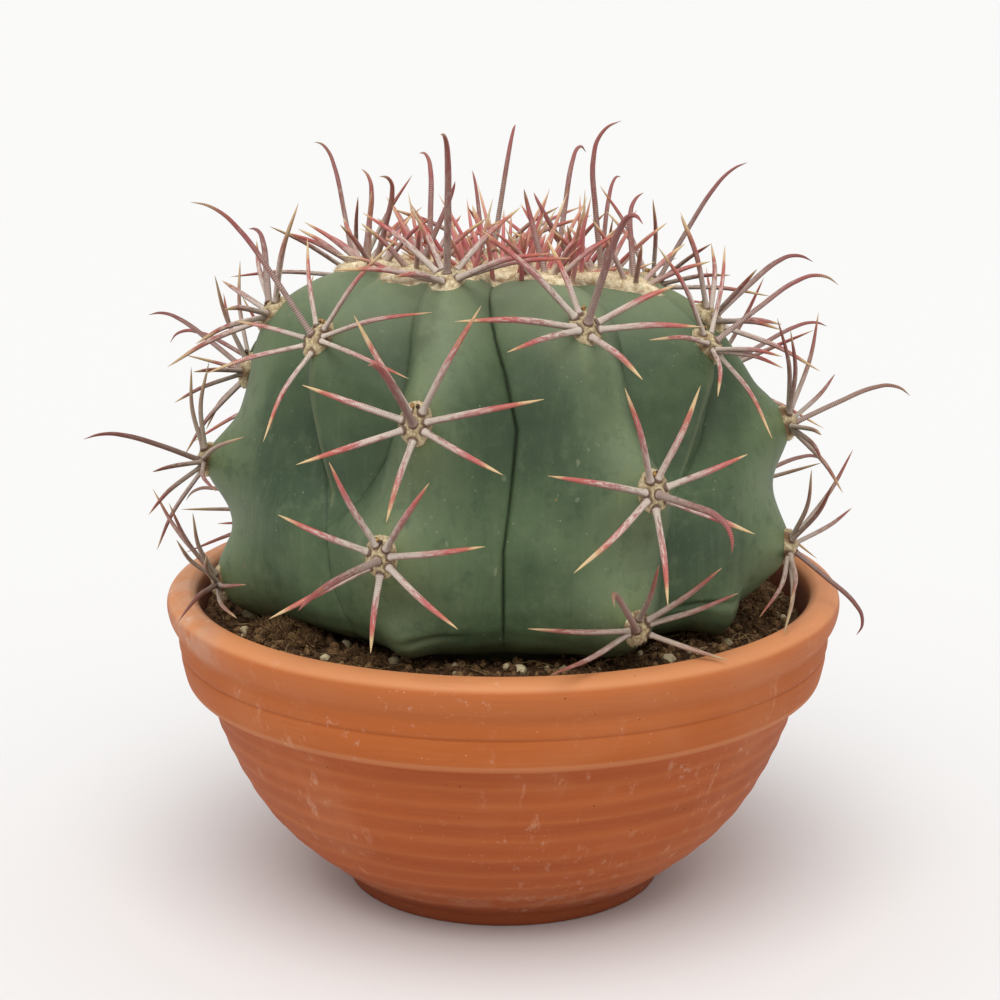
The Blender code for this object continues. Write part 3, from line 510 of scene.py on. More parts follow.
def skin_finish():
    """Waxy blue-green skin with fine specks and scratches, its crests paler partly as painted
    highlight, with painted shade in the hollows, below the areoles and along the creases, and a
    painted highlight along the keels.
    """
    m = Finish("cactus_skin", 0.55, 0.38)
    crest = m.layer("crest")
    height = m.axis("Z")
    broad = m.cloud(0.045, 3, 0.55)
    mottle = m.cloud(0.009, 4, 0.6)
    fine = m.cloud(0.0014, 3, 0.6)
    streaks = m.cloud(0.005, 4, 0.65, (1, 1, 0.12))
    wisps = m.cloud(0.0022, 3, 0.6, (1, 1, 0.07))
    m.base = m.blend(m.step(broad, 0.32, 0.68), paint(54, 74, 49), paint(78, 98, 65))
    # Paler crests: partly the skin's own tone, partly painted highlight on the crests over darker
    # valleys.
    m.lay(m.step(crest * 0.8 + broad * 0.4, 0.25, 0.95) * 0.8, 114, 129, 93)
    m.lay(m.step(streaks, 0.48, 0.72) * 0.24, 104, 116, 84)
    m.lay(m.fade(streaks, 0.30, 0.46) * 0.24, 43, 64, 44)
    m.lay(m.step(wisps, 0.54, 0.7) * crest * 0.3, 126, 134, 102)
    m.lay(m.step(mottle, 0.52, 0.72) * 0.34, 104, 118, 85)
    m.lay(m.fade(mottle, 0.30, 0.46) * 0.34, 40, 61, 42)
    yellow = m.step(m.cloud(0.012, 3, 0.6, (1, 1, 0.5)), 0.42, 0.62)
    m.lay(m.layer("near_areole") * yellow * 0.5, 112, 120, 62)
    m.lay(m.dots(0.0045, 0.05, 0.13) * m.step(m.cloud(0.02), 0.5, 0.62) * 0.55, 150, 156, 130)
    pores = m.dots(0.0011, 0.06, 0.3)
    m.lay(pores * 0.14, 126, 138, 108)
    scratch = m.step(m.cloud(0.0012, 1, 0.4, (0.35, 1, 0.1)), 0.70, 0.76)
    m.lay(scratch * m.step(m.cloud(0.016), 0.54, 0.6) * 0.4, 140, 146, 116)
    m.lay(m.dots(0.013, 0.03, 0.07) * m.step(m.cloud(0.03), 0.52, 0.6) * 0.6, 146, 120, 76)
    # Pale line along the keel of each young rib: painted highlight.
    m.lay(m.layer("edge") * 0.5, 124, 128, 92)
    # Paler towards the crown: partly younger skin, partly painted light on the top.
    m.lay(m.step(height, *CROWN_PALE_AND_TOP_LIGHT) * 0.5, 132, 144, 112)
    m.lay(m.fade(height, *SOIL_STAIN) * m.step(mottle, 0.2, 0.7) * 0.6, 84, 72, 42)
    # Painted shade on the valley flanks of the upper body.
    hollow_shade = m.fade(crest, 0.05, 0.5) * m.step(height, *HOLLOW_SHADE_START)
    m.lay(hollow_shade * m.step(height, *HOLLOW_SHADE_END, 0.36, 0), 50, 64, 40)
    # Painted shade in the hollow below each areole.
    m.lay(m.layer("shade_under_areole") * m.step(mottle, 0.2, 0.7) * 0.5, 46, 62, 42)
    # Painted shade: a thin dark line along each crease, broken up by the mottle.
    m.lay(m.layer("crease_shade") * m.step(mottle, 0.3, 0.6, 0.35, 0.85), 26, 24, 16)
    return m.done(fine * 0.5 + mottle * 0.9 + pores * 0.3 + wisps * 0.4, 0.00035, 0.6,
                  0.46 + fine * 0.16 + (1.0 - crest) * 0.06)


def spine_finish():
    """Ringed horn: chalky mauve at the root, red towards the end, straw at the tip, with painted
    shade on the undersides and chalk weighted towards the lit tops.
    """
    m = Finish("spine_horn", 0.5, 0.4)
    along, reach, tone, age, ringed, facing = map(
        m.layer, ("along", "reach", "tone", "age", "ringed", "facing"))
    patch = m.cloud(0.009, 3, 0.6)
    fleck = m.cloud(0.0011, 2, 0.6)
    turn = m.layer("round") * math.tau
    surface = m.combine(m.maths("COSINE", turn), m.maths("SINE", turn),
                        reach * 170.0 + tone * 60)
    crust = m.noise(surface, 1.6, 4, 0.75)
    blotch = m.noise(surface, 0.4, 2, 0.5)
    shift = along + 0.06 + (tone - 0.5) * 0.24 + (patch - 0.5) * 0.2 + (blotch - 0.5) * 0.24
    shift = shift - ringed * 0.14
    grown_up = m.ramp(
        shift, (0, 168, 150, 134), (0.2, 150, 112, 100), (0.5, 176, 112, 108),
        (0.7, 188, 90, 86), (0.86, 194, 108, 88), (0.95, 222, 190, 140))
    old = m.ramp(
        shift, (0, 150, 130, 114), (0.3, 142, 108, 94), (0.6, 142, 90, 78),
        (0.84, 146, 76, 62), (0.93, 166, 112, 82), (0.99, 196, 164, 122))
    bone = m.ramp(
        shift, (0, 172, 156, 136), (0.5, 178, 156, 134), (0.8, 166, 132, 110),
        (0.95, 190, 162, 122))
    fresh = m.ramp(
        shift, (0, 206, 168, 132), (0.14, 208, 124, 118), (0.4, 196, 82, 98),
        (0.68, 210, 126, 120), (0.9, 224, 172, 138), (0.98, 236, 214, 172))
    colour = m.blend(m.step(age, 0.5, 0.9), grown_up, old)
    colour = m.blend(m.step(age + (tone - 0.5) * 0.6, 0.95, 1.1), colour, bone)
    m.base = m.blend(m.fade(age, 0, 0.4), colour, fresh)
    ring = m.maths("COSINE", reach * (math.tau / RING_PITCH)) * 0.5 + 0.5
    band = m.step(m.noise(m.combine(0, 0, reach * 60.0 + tone * 90), 1, 2, 0.5),
                  0.58, 0.68)
    m.lay(band * m.step(along, 0.15, 0.4) * m.step(age, 0.6, 0.9, 0.55, 0.1), 192, 146, 96)
    chalk = m.step(crust * 0.8 + blotch * 0.4 + (0.45 - along) * 0.3, 0.50, 0.70)
    # The chalk is the horn's own, but weighted towards the upward faces as painted top light.
    chalk = chalk * m.step(facing, -0.95, 0.1, 0.3, 1)
    faded = m.step(along, 0.55, 0.98, 0.82, 0.18) * m.step(age, 0.1, 0.5, 0.35, 1)
    m.lay(chalk * (faded * m.step(age, 0.6, 0.9, 1, 0.55)), 224, 212, 198)
    # Painted shade on the undersides of the spines.
    m.lay(m.step(facing, -0.95, -0.1, 0.5, 0), 84, 56, 54)
    m.lay(ringed * 0.4, 134, 84, 78)
    # Dark lines in the ring troughs: partly the horn's own banding, partly painted shade in the
    # troughs.
    m.lay((1.0 - ring) * (m.step(blotch, 0.4, 0.6, 0.1, 0.3) + ringed * 0.4), 84, 46, 44)
    m.lay(m.step(reach, 0.0009, 0.0015, 0.85, 0), 92, 58, 38)
    return m.done(ring * 0.6 + fleck * 0.4, 0.0001, 0.5, m.step(along, 0.5, 1, 0.6, 0.4))


def felt_finish():
    """Matted felt of the areoles with brown sockets round the spines."""
    m = Finish("areole_felt", 0.95, 0.1)
    tuft = m.cloud(0.0011, 3, 0.7)
    lump = m.cloud(0.004, 2, 0.6)
    worn = m.blend(m.step(tuft, 0.35, 0.65), paint(172, 150, 112), paint(224, 208, 172))
    cream = m.blend(m.step(tuft * 0.6 + lump * 0.5, 0.38, 0.66), paint(204, 176, 130),
                    paint(248, 236, 204))
    m.base = m.blend(m.layer("young"), worn, cream)
    m.lay(m.fade(lump, 0.34, 0.48) * 0.22, 124, 98, 66)
    m.lay(m.layer("socket") * 0.85, 98, 66, 42)
    return m.done(tuft + lump * 0.6, 0.0005, 0.8)


def gland_finish():
    """Amber to nearly black glands above the spines."""
    m = Finish("gland", 0.32, 0.5)
    m.base = m.blend(m.step(m.cloud(0.002), 0.42, 0.58), paint(58, 38, 26), paint(178, 136, 76))
    return m.done(m.cloud(0.0007), 0.0002, 0.5)


def clay_finish():
    """Fired clay: a dusty bloom, lime smears and small specks, with painted highlight on the ring
    crests, the collar's lower edge and the lip, darker at the foot (partly painted shade) and
    inside.
    """
    m = Finish("terracotta", 0.66, 0.3)
    height = m.axis("Z")
    bands = m.cloud(0.016, 3, 0.55, (0.10, 0.10, 1))
    threads = m.cloud(0.0016, 3, 0.6, (0.05, 0.05, 1))
    sand = m.cloud(0.0012, 4, 0.7)
    m.base = m.blend(m.step(bands, 0.30, 0.70), paint(156, 72, 28), paint(172, 84, 34))
    # Paler on the crests of the throwing rings: painted highlight.
    m.lay(m.layer("ridge") * 0.55, 190, 108, 54)
    collar = m.blend(m.step(bands, 0.3, 0.7), paint(172, 88, 34), paint(182, 96, 40))
    m.base = m.blend(m.step(height, *COLLAR_START), m.base, collar)
    # Pale line along the collar's lower edge: painted highlight.
    m.lay(m.step(height, *STEP_START) * m.fade(height, *STEP_END) * 0.25, 206, 152, 112)
    m.lay(m.step(height, *COLLAR_PALE) * 0.6, 190, 108, 56)
    # Pale band on top of the lip: painted highlight.
    m.lay(m.step(height, *LIP_HIGHLIGHT) * 0.75, 216, 146, 96)
    m.lay(m.step(threads, 0.5, 0.7) * 0.07, 206, 136, 88)
    m.lay(m.fade(threads, 0.30, 0.45) * 0.08, 124, 56, 30)
    m.lay(m.step(m.cloud(0.06, 3, 0.55), 0.52, 0.75) * 0.2, 196, 130, 90)
    # Darker towards the foot: partly the clay's own darker foot, partly painted shade on the
    # underside.
    m.lay(m.step(height, *FOOT_DARK, 0.6, 0), 112, 54, 32)
    tide = m.step(height, *TIDE_START) * m.fade(height, *TIDE_END)
    m.lay(tide * m.step(m.cloud(0.010, 4, 0.7), 0.44, 0.62) * 0.3, 178, 132, 104)
    smear = m.step(m.cloud(0.011, 5, 0.72, (1, 1, 0.5)), 0.58, 0.70)
    m.lay(smear * m.step(m.cloud(0.07), 0.46, 0.60) * 0.30, 206, 162, 130)
    lime = m.step(m.cloud(0.004, 4, 0.7), 0.60, 0.68) * m.step(m.cloud(0.035), 0.54, 0.62)
    left = m.step(m.axis("X"), -0.11, -0.13)
    m.lay(lime * m.step(left, 0, 1, 0.22, 0.9), 228, 208, 190)
    dust = m.step(m.cloud(0.02, 4, 0.7), 0.38, 0.6) * m.step(height, *RIM_DUST)
    m.lay(dust * left * 0.32, 206, 180, 160)
    run = m.step(m.cloud(0.006, 4, 0.7, (1, 1, 0.12)), 0.56, 0.68)
    run = run * m.step(m.cloud(0.05), 0.52, 0.6) * m.fade(height, *RUNS_END)
    m.lay(run * m.step(sand, 0.35, 0.6) * 0.4, 214, 170, 140)
    m.lay(m.dots(0.007, 0.03, 0.08) * m.step(m.cloud(0.012), 0.50, 0.58) * 0.8, 60, 34, 24)
    m.lay(m.dots(0.0036, 0.04, 0.10) * m.step(m.cloud(0.017), 0.54, 0.62) * 0.6, 226, 196, 166)
    # Darker on the inside of the wall, fading out over the lip.
    inside_dark = m.blend(m.step(sand, 0.3, 0.7), paint(92, 44, 28), paint(124, 64, 40))
    m.base = m.blend(m.layer("inner") * m.step(height, *INSIDE_DARK_END, 0.95, 0.2), m.base, inside_dark)
    return m.done(sand * 0.6 + threads * 0.3, 0.00025, 0.45,
                  0.58 + sand * 0.2 - m.step(height, *LIP_SMOOTH, 0, 0.12))


def soil_finish(name, dark, light, size):
    """Earthy material with grains of about that many metres."""
    m = Finish(name, 0.97, 0.1)
    fine = m.cloud(size, 5, 0.75)
    broad = m.cloud(size * 6, 3, 0.6)
    m.base = m.blend(m.step(fine * 0.7 + broad * 0.3, 0.36, 0.66), paint(*dark), paint(*light))
    m.lay(m.dots(size * 0.9, 0.05, 0.22) * m.step(broad, 0.5, 0.6) * 0.4, 150, 120, 84)
    return m.done(fine + broad * 0.5, size * 0.7, 0.9)


def stone_finish():
    """Pale angular grit with a little dirt."""
    m = Finish("grit", 0.85, 0.25)
    dirt = m.cloud(0.003, 4, 0.7)
    m.base = m.blend(m.step(m.layer("tone"), 0.2, 0.9), paint(150, 134, 102),
                     paint(206, 190, 152))
    m.lay(m.step(dirt, 0.5, 0.72) * 0.7, 122, 100, 74)
    return m.done(dirt, 0.0006, 0.7)


def floor_finish():
    m = Finish("studio_floor", 0.9, 0.1)
    m.base = m.blend(m.cloud(0.002), paint(229, 229, 229), paint(231, 231, 231))
    return m.done()


# Skin of the cactus.
def skin_column(rib, side, share, levels):
    """One column of points between a rib's crest and the crease beside it."""
    power, start = RIBS[rib][:2]
    crease = rib if side > 0 else (rib - 1) % len(RIBS)
    crest = crest_azimuth(rib, levels)
    end = crease_azimuth(crease, levels)
    if side < 0:
        end = crest - (crest - end) % TOTAL_TURN
    top = crest_depth(rib, levels)
    azimuth = crest + (end - crest) * share
    depth = top + (crease_depth(crease, levels) - top) * share ** power
    half_width = np.radians(np.abs(end - crest)) * envelope(levels)[0]
    to_crease = (1.0 - share) * half_width
    slit_share = SLIT_SHARE.get(crease, 1.0)
    slit = bell(to_crease, SLIT_WIDTH) * ease(levels, *SLIT_OPENS)
    slit = slit * (1.0 - ease(levels, *SLIT_CLOSES)) * slit_share
    offset = swelling(azimuth, levels) - depth - SLIT_DEPTH * slit
    for where, level, reach, deep, wide in PINCHES:
        offset = offset - deep * bell(turn_between(azimuth, where), reach, levels - level, wide)
    crest_share = (1.0 - share) ** CREST_POWER * np.ones_like(levels)
    edge = np.zeros_like(levels)
    if start:
        rise = ease(levels, start, start + YOUNG_RISE)
        crest_share = crest_share * np.sqrt(rise) * YOUNG_CREST
        edge = bell(share * half_width, KEEL_WIDTH) * ease(rise, *KEEL_STARTS)
        edge = edge * (1.0 - ease(levels, *KEEL_ENDS))
        offset = offset + KEEL_HEIGHT * edge
    # Where the painted shade of the crease falls.
    crease_shade = bell(to_crease, CREASE_SHADE_WIDTH) * ease(levels, *CREASE_SHADE_OPENS) * slit_share
    return azimuth, offset, crest_share, edge, crease_shade


def near_areoles(azimuth, levels, below=0.0):
    """How close each point lies to an areole, or to the spot below it that takes painted shade,
    from 0 to 1.
    """
    radius = envelope(levels)[0]
    total = np.zeros_like(radius)
    for _, rib, centre, *_ in AREOLES:
        across = arc(azimuth, crest_azimuth(rib, centre), radius)
        near = bell(across, NEAR_WIDTH, levels - centre + below, NEAR_LENGTH)
        total = np.maximum(total, near)
    return total


def skin_piece():
    """The ribbed body, finely stepped, closed under the soil and at the crown."""
    buried, first, last = SKIN_LEVELS
    levels = np.concatenate(([buried], np.linspace(first, last, SKIN_ROWS)))
    columns = []
    for rib in range(len(RIBS)):
        sides = [(-1, s) for s in reversed(HALF_RIB[1:])] + [(1, s) for s in HALF_RIB] + [(1, 1.0)]
        for side, share in sides:
            columns.append(skin_column(rib, side, share, levels))
    azimuth, offset, crest, edge, crease_shade = (np.stack(c, axis=1) for c in zip(*columns))
    rows, count = azimuth.shape
    level = levels[:, None] * np.ones_like(azimuth)
    near = near_areoles(azimuth, level)
    flat = place(azimuth, level, offset).reshape(-1, 3)
    wave = grains(flat, SKIN_WAVES)
    wave = wave * (1.0 - near.ravel()) * ease(flat[:, 2], *WAVES_START)
    places = place(azimuth, level, offset + wave.reshape(rows, count)).reshape(-1, 3)
    ends = (places[:count].mean(axis=0), place(0.0, CROWN_LEVEL, 0.0))
    faces = grid_faces(rows, count)
    for c in range(count):
        n = (c + 1) % count
        faces.append((rows * count, n, c))
        faces.append((rows * count + 1, (rows - 1) * count + c, (rows - 1) * count + n))
    kept = {"crest": crest, "edge": edge, "crease_shade": crease_shade, "near_areole": near,
            "shade_under_areole": near_areoles(azimuth, level, SHADE_BELOW_AREOLE)}
    kept = {name: (*numbers.ravel(), 0.0, 0.0) for name, numbers in kept.items()}
    return mesh_piece("skin", np.vstack((places, ends)), faces, skin_finish(), SKIN_WELD, **kept)


# Centre lines of the spines, from the solids.
JOINED = 0.00002
TIP_SIDE = (0.34, 0.64)
TIP_EVENNESS = 1.15
HOOK_STEPS = (1.0, 0.917, 0.806, 0.694, 0.389)
RADIAL_STEPS = (1.0, 0.5)
ROOT_STEP = 0.05
HOOK_BELOW = 0.95
YOUNG_BELOW = 1.15
HOOK_SHAPE = ((0.0, 1.8), (0.05, 1.75), (0.389, 1.6), (0.694, 1.4), (0.806, 1.15), (0.917, 0.75),
              (1.0, 0.08))
RADIAL_SHAPE = ((0.0, 1.55), (0.05, 1.5), (0.5, 1.34), (0.8, 0.86), (0.93, 0.44), (1.0, 0.07))
YOUNG_SHAPE = ((0.0, 1.15), (0.06, 1.1), (0.5, 0.92), (0.8, 0.58), (1.0, 0.06))
ROOT_ZONE = 11.0
ROOT_SLACK = 1.25
CROWN_ROOT_ZONE = 21.0
RING_PITCH = 0.00095
HOOK_SPACING = 0.475
SPINE_SPACING = 1.6
FINE_STEPS = 200
ROOT_DEPTH = 0.9
ROOT_STEPS = (0.0, 0.475, 0.95, 1.425, 1.9)
ROOT_FLARE = 0.34
ROOT_REACH = 2.2


def solid_rings(node):
    """Rings of corners from every spine's tip to its root, as centres and radii."""
    bm = bmesh.new()
    bm.from_mesh(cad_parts[node].data)
    bmesh.ops.remove_doubles(bm, verts=bm.verts, dist=JOINED)
    lines = []
    for face in bm.faces:
        sides = [edge.calc_length() / MM for edge in face.edges]
        if len(sides) != 3 or min(sides) < TIP_SIDE[0] or max(sides) > TIP_SIDE[1]:
            continue
        if max(sides) > TIP_EVENNESS * min(sides):
            continue
        ring = list(face.verts)
        seen = set(ring)
        line = []
        while len(ring) == 3 and len(line) < len(HOOK_STEPS) + 1:
            centre = sum((v.co for v in ring), Vector()) / 3
            line.append((centre / MM, (ring[0].co - centre).length / MM))
            # Lists keep one order, so that sums round alike in every run.
            around = dict.fromkeys(e.other_vert(v) for v in ring for e in v.link_edges)
            ring = [v for v in around if v not in seen]
            seen.update(ring)
        rest = sum((v.co for v in ring), Vector()) / max(len(ring), 1)
        lines.append((line, rest / MM))
    bm.free()
    return lines


def spine_path(line, rest, centre, root_zone):
    """Steps from root to tip as knots, and the shape that fits the spine."""
    while len(line) > 1 and (line[-1][0] - centre).length < root_zone:
        rest = line.pop()[0]
    second = line[1][1] if len(line) > 1 else math.inf
    steps, shape = RADIAL_STEPS, RADIAL_SHAPE
    if second < HOOK_BELOW and len(line) > 2:
        steps, shape = HOOK_STEPS, HOOK_SHAPE
    elif second < YOUNG_BELOW:
        shape = YOUNG_SHAPE
    knots = [(step, spot) for step, (spot, _) in zip(steps, line)]
    knots.append((ROOT_STEP, rest if (rest - centre).length < root_zone * ROOT_SLACK else centre))
    knots.sort(key=lambda knot: knot[0])
    return knots, shape


def leaving(line, areole):
    """Number of the first step of a line that lies outside its areole's felt."""
    centre, out, up, side = areole
    for k, point in enumerate(line):
        away = Vector(point) - centre
        x, y = away.dot(side), away.dot(up)
        if pad_share(x, y) > 1.0 or away.dot(out) > pad_dome(x, y):
            return k
    return 0


def smooth_beyond(steps, knots):
    """Cubic curve through the knots that runs on straight before the first."""
    first, second = knots[0], knots[1]
    slope = (second[1] - first[1]) / (second[0] - first[0])
    return smooth(steps, knots) + slope * np.minimum(steps - first[0], 0.0)


def lengths(points):
    """Distance gone at each point of a line."""
    return np.concatenate(([0.0], np.cumsum(np.linalg.norm(np.diff(points, axis=0), axis=1))))


def fine_points(knots, shape, spacing, areole=None, thickness=1.0):
    """Evenly spaced points and radii along a smooth curve through the knots."""
    steps = np.linspace(0.0, 1.0, FINE_STEPS)
    line = np.stack([smooth_beyond(steps, [(t, p[k]) for t, p in knots]) for k in range(3)],
                    axis=1)
    gone = lengths(line)
    start = max(gone[leaving(line, areole)] - ROOT_DEPTH, 0.0) if areole else 0.0
    wanted = np.concatenate((start + np.array(ROOT_STEPS), np.arange(
        start + ROOT_STEPS[-1] + 0.5 * spacing, gone[-1] - 0.6 * spacing, spacing), gone[-1:]))
    points = np.stack([np.interp(wanted, gone, line[:, k]) for k in range(3)], axis=1)
    flare = 1.0 + ROOT_FLARE * bell(wanted - start, ROOT_REACH)
    return points, smooth(np.interp(wanted, gone, steps), shape) * thickness * flare


# Geometry trees. A hook has more steps than RINGED_FROM, and only hooks are ringed.
RINGED_FROM = 60
LUMP_INPUTS = ("Density", "Size", "Smallest", "Roughness", "Flatness", "Lift", "Facets")


class Growth(Graph):
    """A geometry tree under construction, with named inputs, a seed and a material."""

    def __init__(self, name, counts, numbers):
        super().__init__(bpy.data.node_groups.new(name, "GeometryNodeTree"))
        kinds = {"Geometry": "Geometry", "Seed": "Int", "Material": "Material",
                 **dict.fromkeys(counts, "Int"), **dict.fromkeys(numbers, "Float")}
        for label, kind in kinds.items():
            self.tree.interface.new_socket(label, in_out="INPUT",
                                           socket_type=f"NodeSocket{kind}")
        self.tree.interface.new_socket("Geometry", in_out="OUTPUT",
                                       socket_type="NodeSocketGeometry")
        entry = self.tree.nodes.new("NodeGroupInput")
        self.given = {s.name: Value(self, s) for s in entry.outputs if s.name}

    def store(self, geometry, name, value, domain="POINT"):
        """Keeps a number on the geometry for the material to read."""
        return self.node("GeometryNodeStoreNamedAttribute",
                         {0: geometry, "Name": name, "Value": value}, domain=domain)

    def random(self, low, high):
        """Number between two limits, drawn anew for each point."""
        return self.node("FunctionNodeRandomValue", {2: low, 3: high, "Seed": self.given["Seed"]},
                         1, data_type="FLOAT")

    def random_vector(self, low, high):
        return self.node("FunctionNodeRandomValue", {
            0: (low,) * 3, 1: (high,) * 3, "Seed": self.given["Seed"]}, data_type="FLOAT_VECTOR")

    def vectors(self, operation, first, second):
        return self.node("ShaderNodeVectorMath", {0: first, 1: second}, operation=operation)

    def scaled(self, vector, factor):
        return self.node("ShaderNodeVectorMath", {0: vector, "Scale": factor}, operation="SCALE")

    def scatter(self, mark):
        """Points strewn over a surface where it is marked, and the way each one faces."""
        marked = self.node("GeometryNodeInputNamedAttribute", {"Name": mark}, data_type="FLOAT")
        points = self.node("GeometryNodeDistributePointsOnFaces", {
            "Mesh": self.given["Geometry"], "Density": self.given["Density"] * marked,
            "Seed": self.given["Seed"]}, "Points")
        return points, Value(self, points.socket.node.outputs["Normal"])

    def instances(self, points, instance, turn, size):
        return self.node("GeometryNodeInstanceOnPoints", {
            "Points": points, "Instance": instance, "Rotation": turn, "Scale": size})

    def real(self, geometry):
        return self.node("GeometryNodeRealizeInstances", {0: geometry})

    def done(self, geometry):
        """Ends the tree: instances made real, then the material."""
        shown = self.node("GeometryNodeSetMaterial", {
            "Geometry": self.real(geometry), "Material": self.given["Material"]})
        leave = self.tree.nodes.new("NodeGroupOutput")
        self.tree.links.new(shown.socket, leave.inputs[0])
        return self.tree


def grown(source, tree, name, material, seed, values):
    """Plain mesh object from a source object and a geometry tree with its inputs set."""
    modifier = source.modifiers.new("grow", "NODES")
    modifier.node_group = tree
    sockets = {s.name: s.identifier for s in tree.interface.items_tree if s.in_out == "INPUT"}
    for label, value in {**values, "Seed": seed, "Material": material}.items():
        modifier[sockets[label]] = value
    graph = bpy.context.evaluated_depsgraph_get()
    mesh = bpy.data.meshes.new_from_object(source.evaluated_get(graph), depsgraph=graph)
    source.modifiers.remove(modifier)
    return linked(name, mesh)


def spine_tree():
    """Tubes round curves, with the rings of horn and what the material reads."""
    g = Growth("spine_rings", ("Sides",), ("Ring Pitch", "Ring Relief", "Age"))
    line = g.node("GeometryNodeSplineParameter", output="Factor")
    reach = g.node("GeometryNodeSplineParameter", output="Length")
    radius = g.node("GeometryNodeInputRadius")
    ringed = g.node("FunctionNodeCompare",
                    {2: g.node("GeometryNodeSplineLength", output="Point Count"),
                     3: RINGED_FROM}, data_type="INT", operation="GREATER_THAN")
    wave = g.maths("COSINE", reach / g.given["Ring Pitch"] * math.tau)
    swell = 1.0 + wave * g.given["Ring Relief"] * ringed
    curve = g.node("GeometryNodeSetCurveRadius",
                   {"Curve": g.given["Geometry"], "Radius": radius * swell})
    curve = g.store(curve, "tone", g.random(0.0, 1.0), "CURVE")
    curve = g.store(curve, "along", line)
    curve = g.store(curve, "reach", reach)
    curve = g.store(curve, "age", g.given["Age"])
    curve = g.store(curve, "ringed", ringed, "CURVE")
    section = g.node("GeometryNodeCurvePrimitiveCircle",
                     {"Resolution": g.given["Sides"], "Radius": 1.0}, "Curve", mode="RADIUS")
    tube = g.node("GeometryNodeCurveToMesh", {
        "Curve": curve, "Profile Curve": g.store(section, "round", line),
        "Scale": radius, "Fill Caps": True})
    # Upward share of the normal, read by the horn material for painted shade below and chalkier
    # tops.
    facing = g.node("ShaderNodeSeparateXYZ", {0: g.node("GeometryNodeInputNormal")}, "Z")
    tube = g.store(tube, "facing", facing)
    return g.done(g.node("GeometryNodeSetShadeSmooth", {"Geometry": tube, "Shade Smooth": True}))


def hair_tree():
    """Short hairs standing out of a surface where it is marked as woolly."""
    g = Growth("felt_hairs", (), ("Density", "Length", "Thickness", "Lean"))
    points, normal = g.scatter("wool")
    lean = g.scaled(g.random_vector(-1.0, 1.0), g.given["Lean"])
    turn = g.node("FunctionNodeAlignRotationToVector",
                  {"Vector": g.vectors("ADD", normal, lean)}, axis="Z")
    blade = g.node("GeometryNodeMeshCone", {
        "Vertices": 3, "Radius Top": 0.0, "Radius Bottom": g.given["Thickness"],
        "Depth": g.given["Length"]}, fill_type="NONE")
    return g.done(g.instances(points, blade, turn, g.random(0.5, 1.3)))


def lump_tree():
    """Rough lumps scattered over a surface where it is marked, each of another shape."""
    g = Growth("scattered_lumps", LUMP_INPUTS[-1:], LUMP_INPUTS[:-1])
    size, smallest = g.given["Size"], g.given["Smallest"]
    points, _ = g.scatter("bare")
    turn = g.node("FunctionNodeEulerToRotation", {0: g.random_vector(0.0, math.tau)})
    drawn = g.random(0.0, 1.0)
    share = smallest + (1.0 - smallest) * drawn ** 2.2
    ball = g.node("GeometryNodeMeshIcoSphere", {"Radius": 1.0, "Subdivisions": g.given["Facets"]})
    lumps = g.real(g.instances(
        g.store(points, "tone", drawn), ball, turn,
        g.combine(size * share, size * share * 0.8, size * share * g.given["Flatness"])))
    push = g.noise(g.node("GeometryNodeInputPosition"), 0.55 / size, 3.0, 0.65) - 0.5
    offset = g.scaled(g.node("GeometryNodeInputNormal"), push * g.given["Roughness"] * size)
    offset = g.vectors("ADD", offset, g.combine(0.0, 0.0, g.given["Lift"]))
    return g.done(g.node("GeometryNodeSetPosition", {"Geometry": lumps, "Offset": offset}))


def horn_tubes(name, lines, sides, relief, age, seed, finish):
    """Ringed tubes along lines of points with radii."""
    curve = bpy.data.curves.new("lines", "CURVE")
    curve.dimensions = "3D"
    for points, radii in lines:
        spline = curve.splines.new("POLY")
        spline.points.add(len(points) - 1)
        for point, where, radius in zip(spline.points, points, radii):
            point.co = (*(Vector(where) * MM), 1.0)
            point.radius = radius * MM
    source = linked("lines", curve)
    tubes = grown(source, rings_of_horn, name, finish, seed, {
        "Sides": sides, "Ring Pitch": RING_PITCH, "Ring Relief": relief, "Age": age})
    bpy.data.objects.remove(source)
    return tubes


def hairs_on(piece, name, finish, seed, density, length, thickness, lean):
    """Short hairs over the woolly part of a piece."""
    return grown(piece, felt_hairs, name, finish, seed, {
        "Density": density, "Length": length, "Thickness": thickness, "Lean": lean})


def join(name, *parts):
    """One object from several, keeping their materials and stored numbers."""
    with bpy.context.temp_override(active_object=parts[0], object=parts[0],
                                   selected_objects=parts, selected_editable_objects=parts):
        bpy.ops.object.join()
    parts[0].name = name
    parts[0].data.name = name
    return parts[0]


# Areoles: felt pads with a socket round each spine, glands above, short hairs.
PAD_WIDTH = 6.9
PAD_LENGTH = 9.2
PAD_RISE = 2.3
PAD_LIFT = 0.5
PAD_SKIRT = 3.6
PAD_WELD = 0.01
SKIRT_SHARE = 0.93
PAD_RINGS = 20
PAD_COLUMNS = 66
PAD_BEND = 46.0
PAD_SHIFT = 0.9
YOUNG_STRETCH = 0.25
YOUNG_PIT = 0.6
SOCKET_RADIUS = 2.8
SOCKET_WIDTH = 0.6
PIT_RADIUS = 2.3
SOCKET_RISE = 0.75
PAD_OUTLINE = (1.7, 0.07)
PAD_COARSE = (0.55, 0.45, 3.1)
PAD_FINE = (1.6, 0.25, 1.7)
GLAND_GAP = 2.1
GLAND_PLACE = 0.86
GLAND_LIFT = 2.2
GLAND_LENGTH = 1.2


def pad_share(x, y):
    """Distance from the middle of an areole's felt, as a share of its half width."""
    return math.hypot(x / PAD_WIDTH, (y - PAD_SHIFT) / PAD_LENGTH)


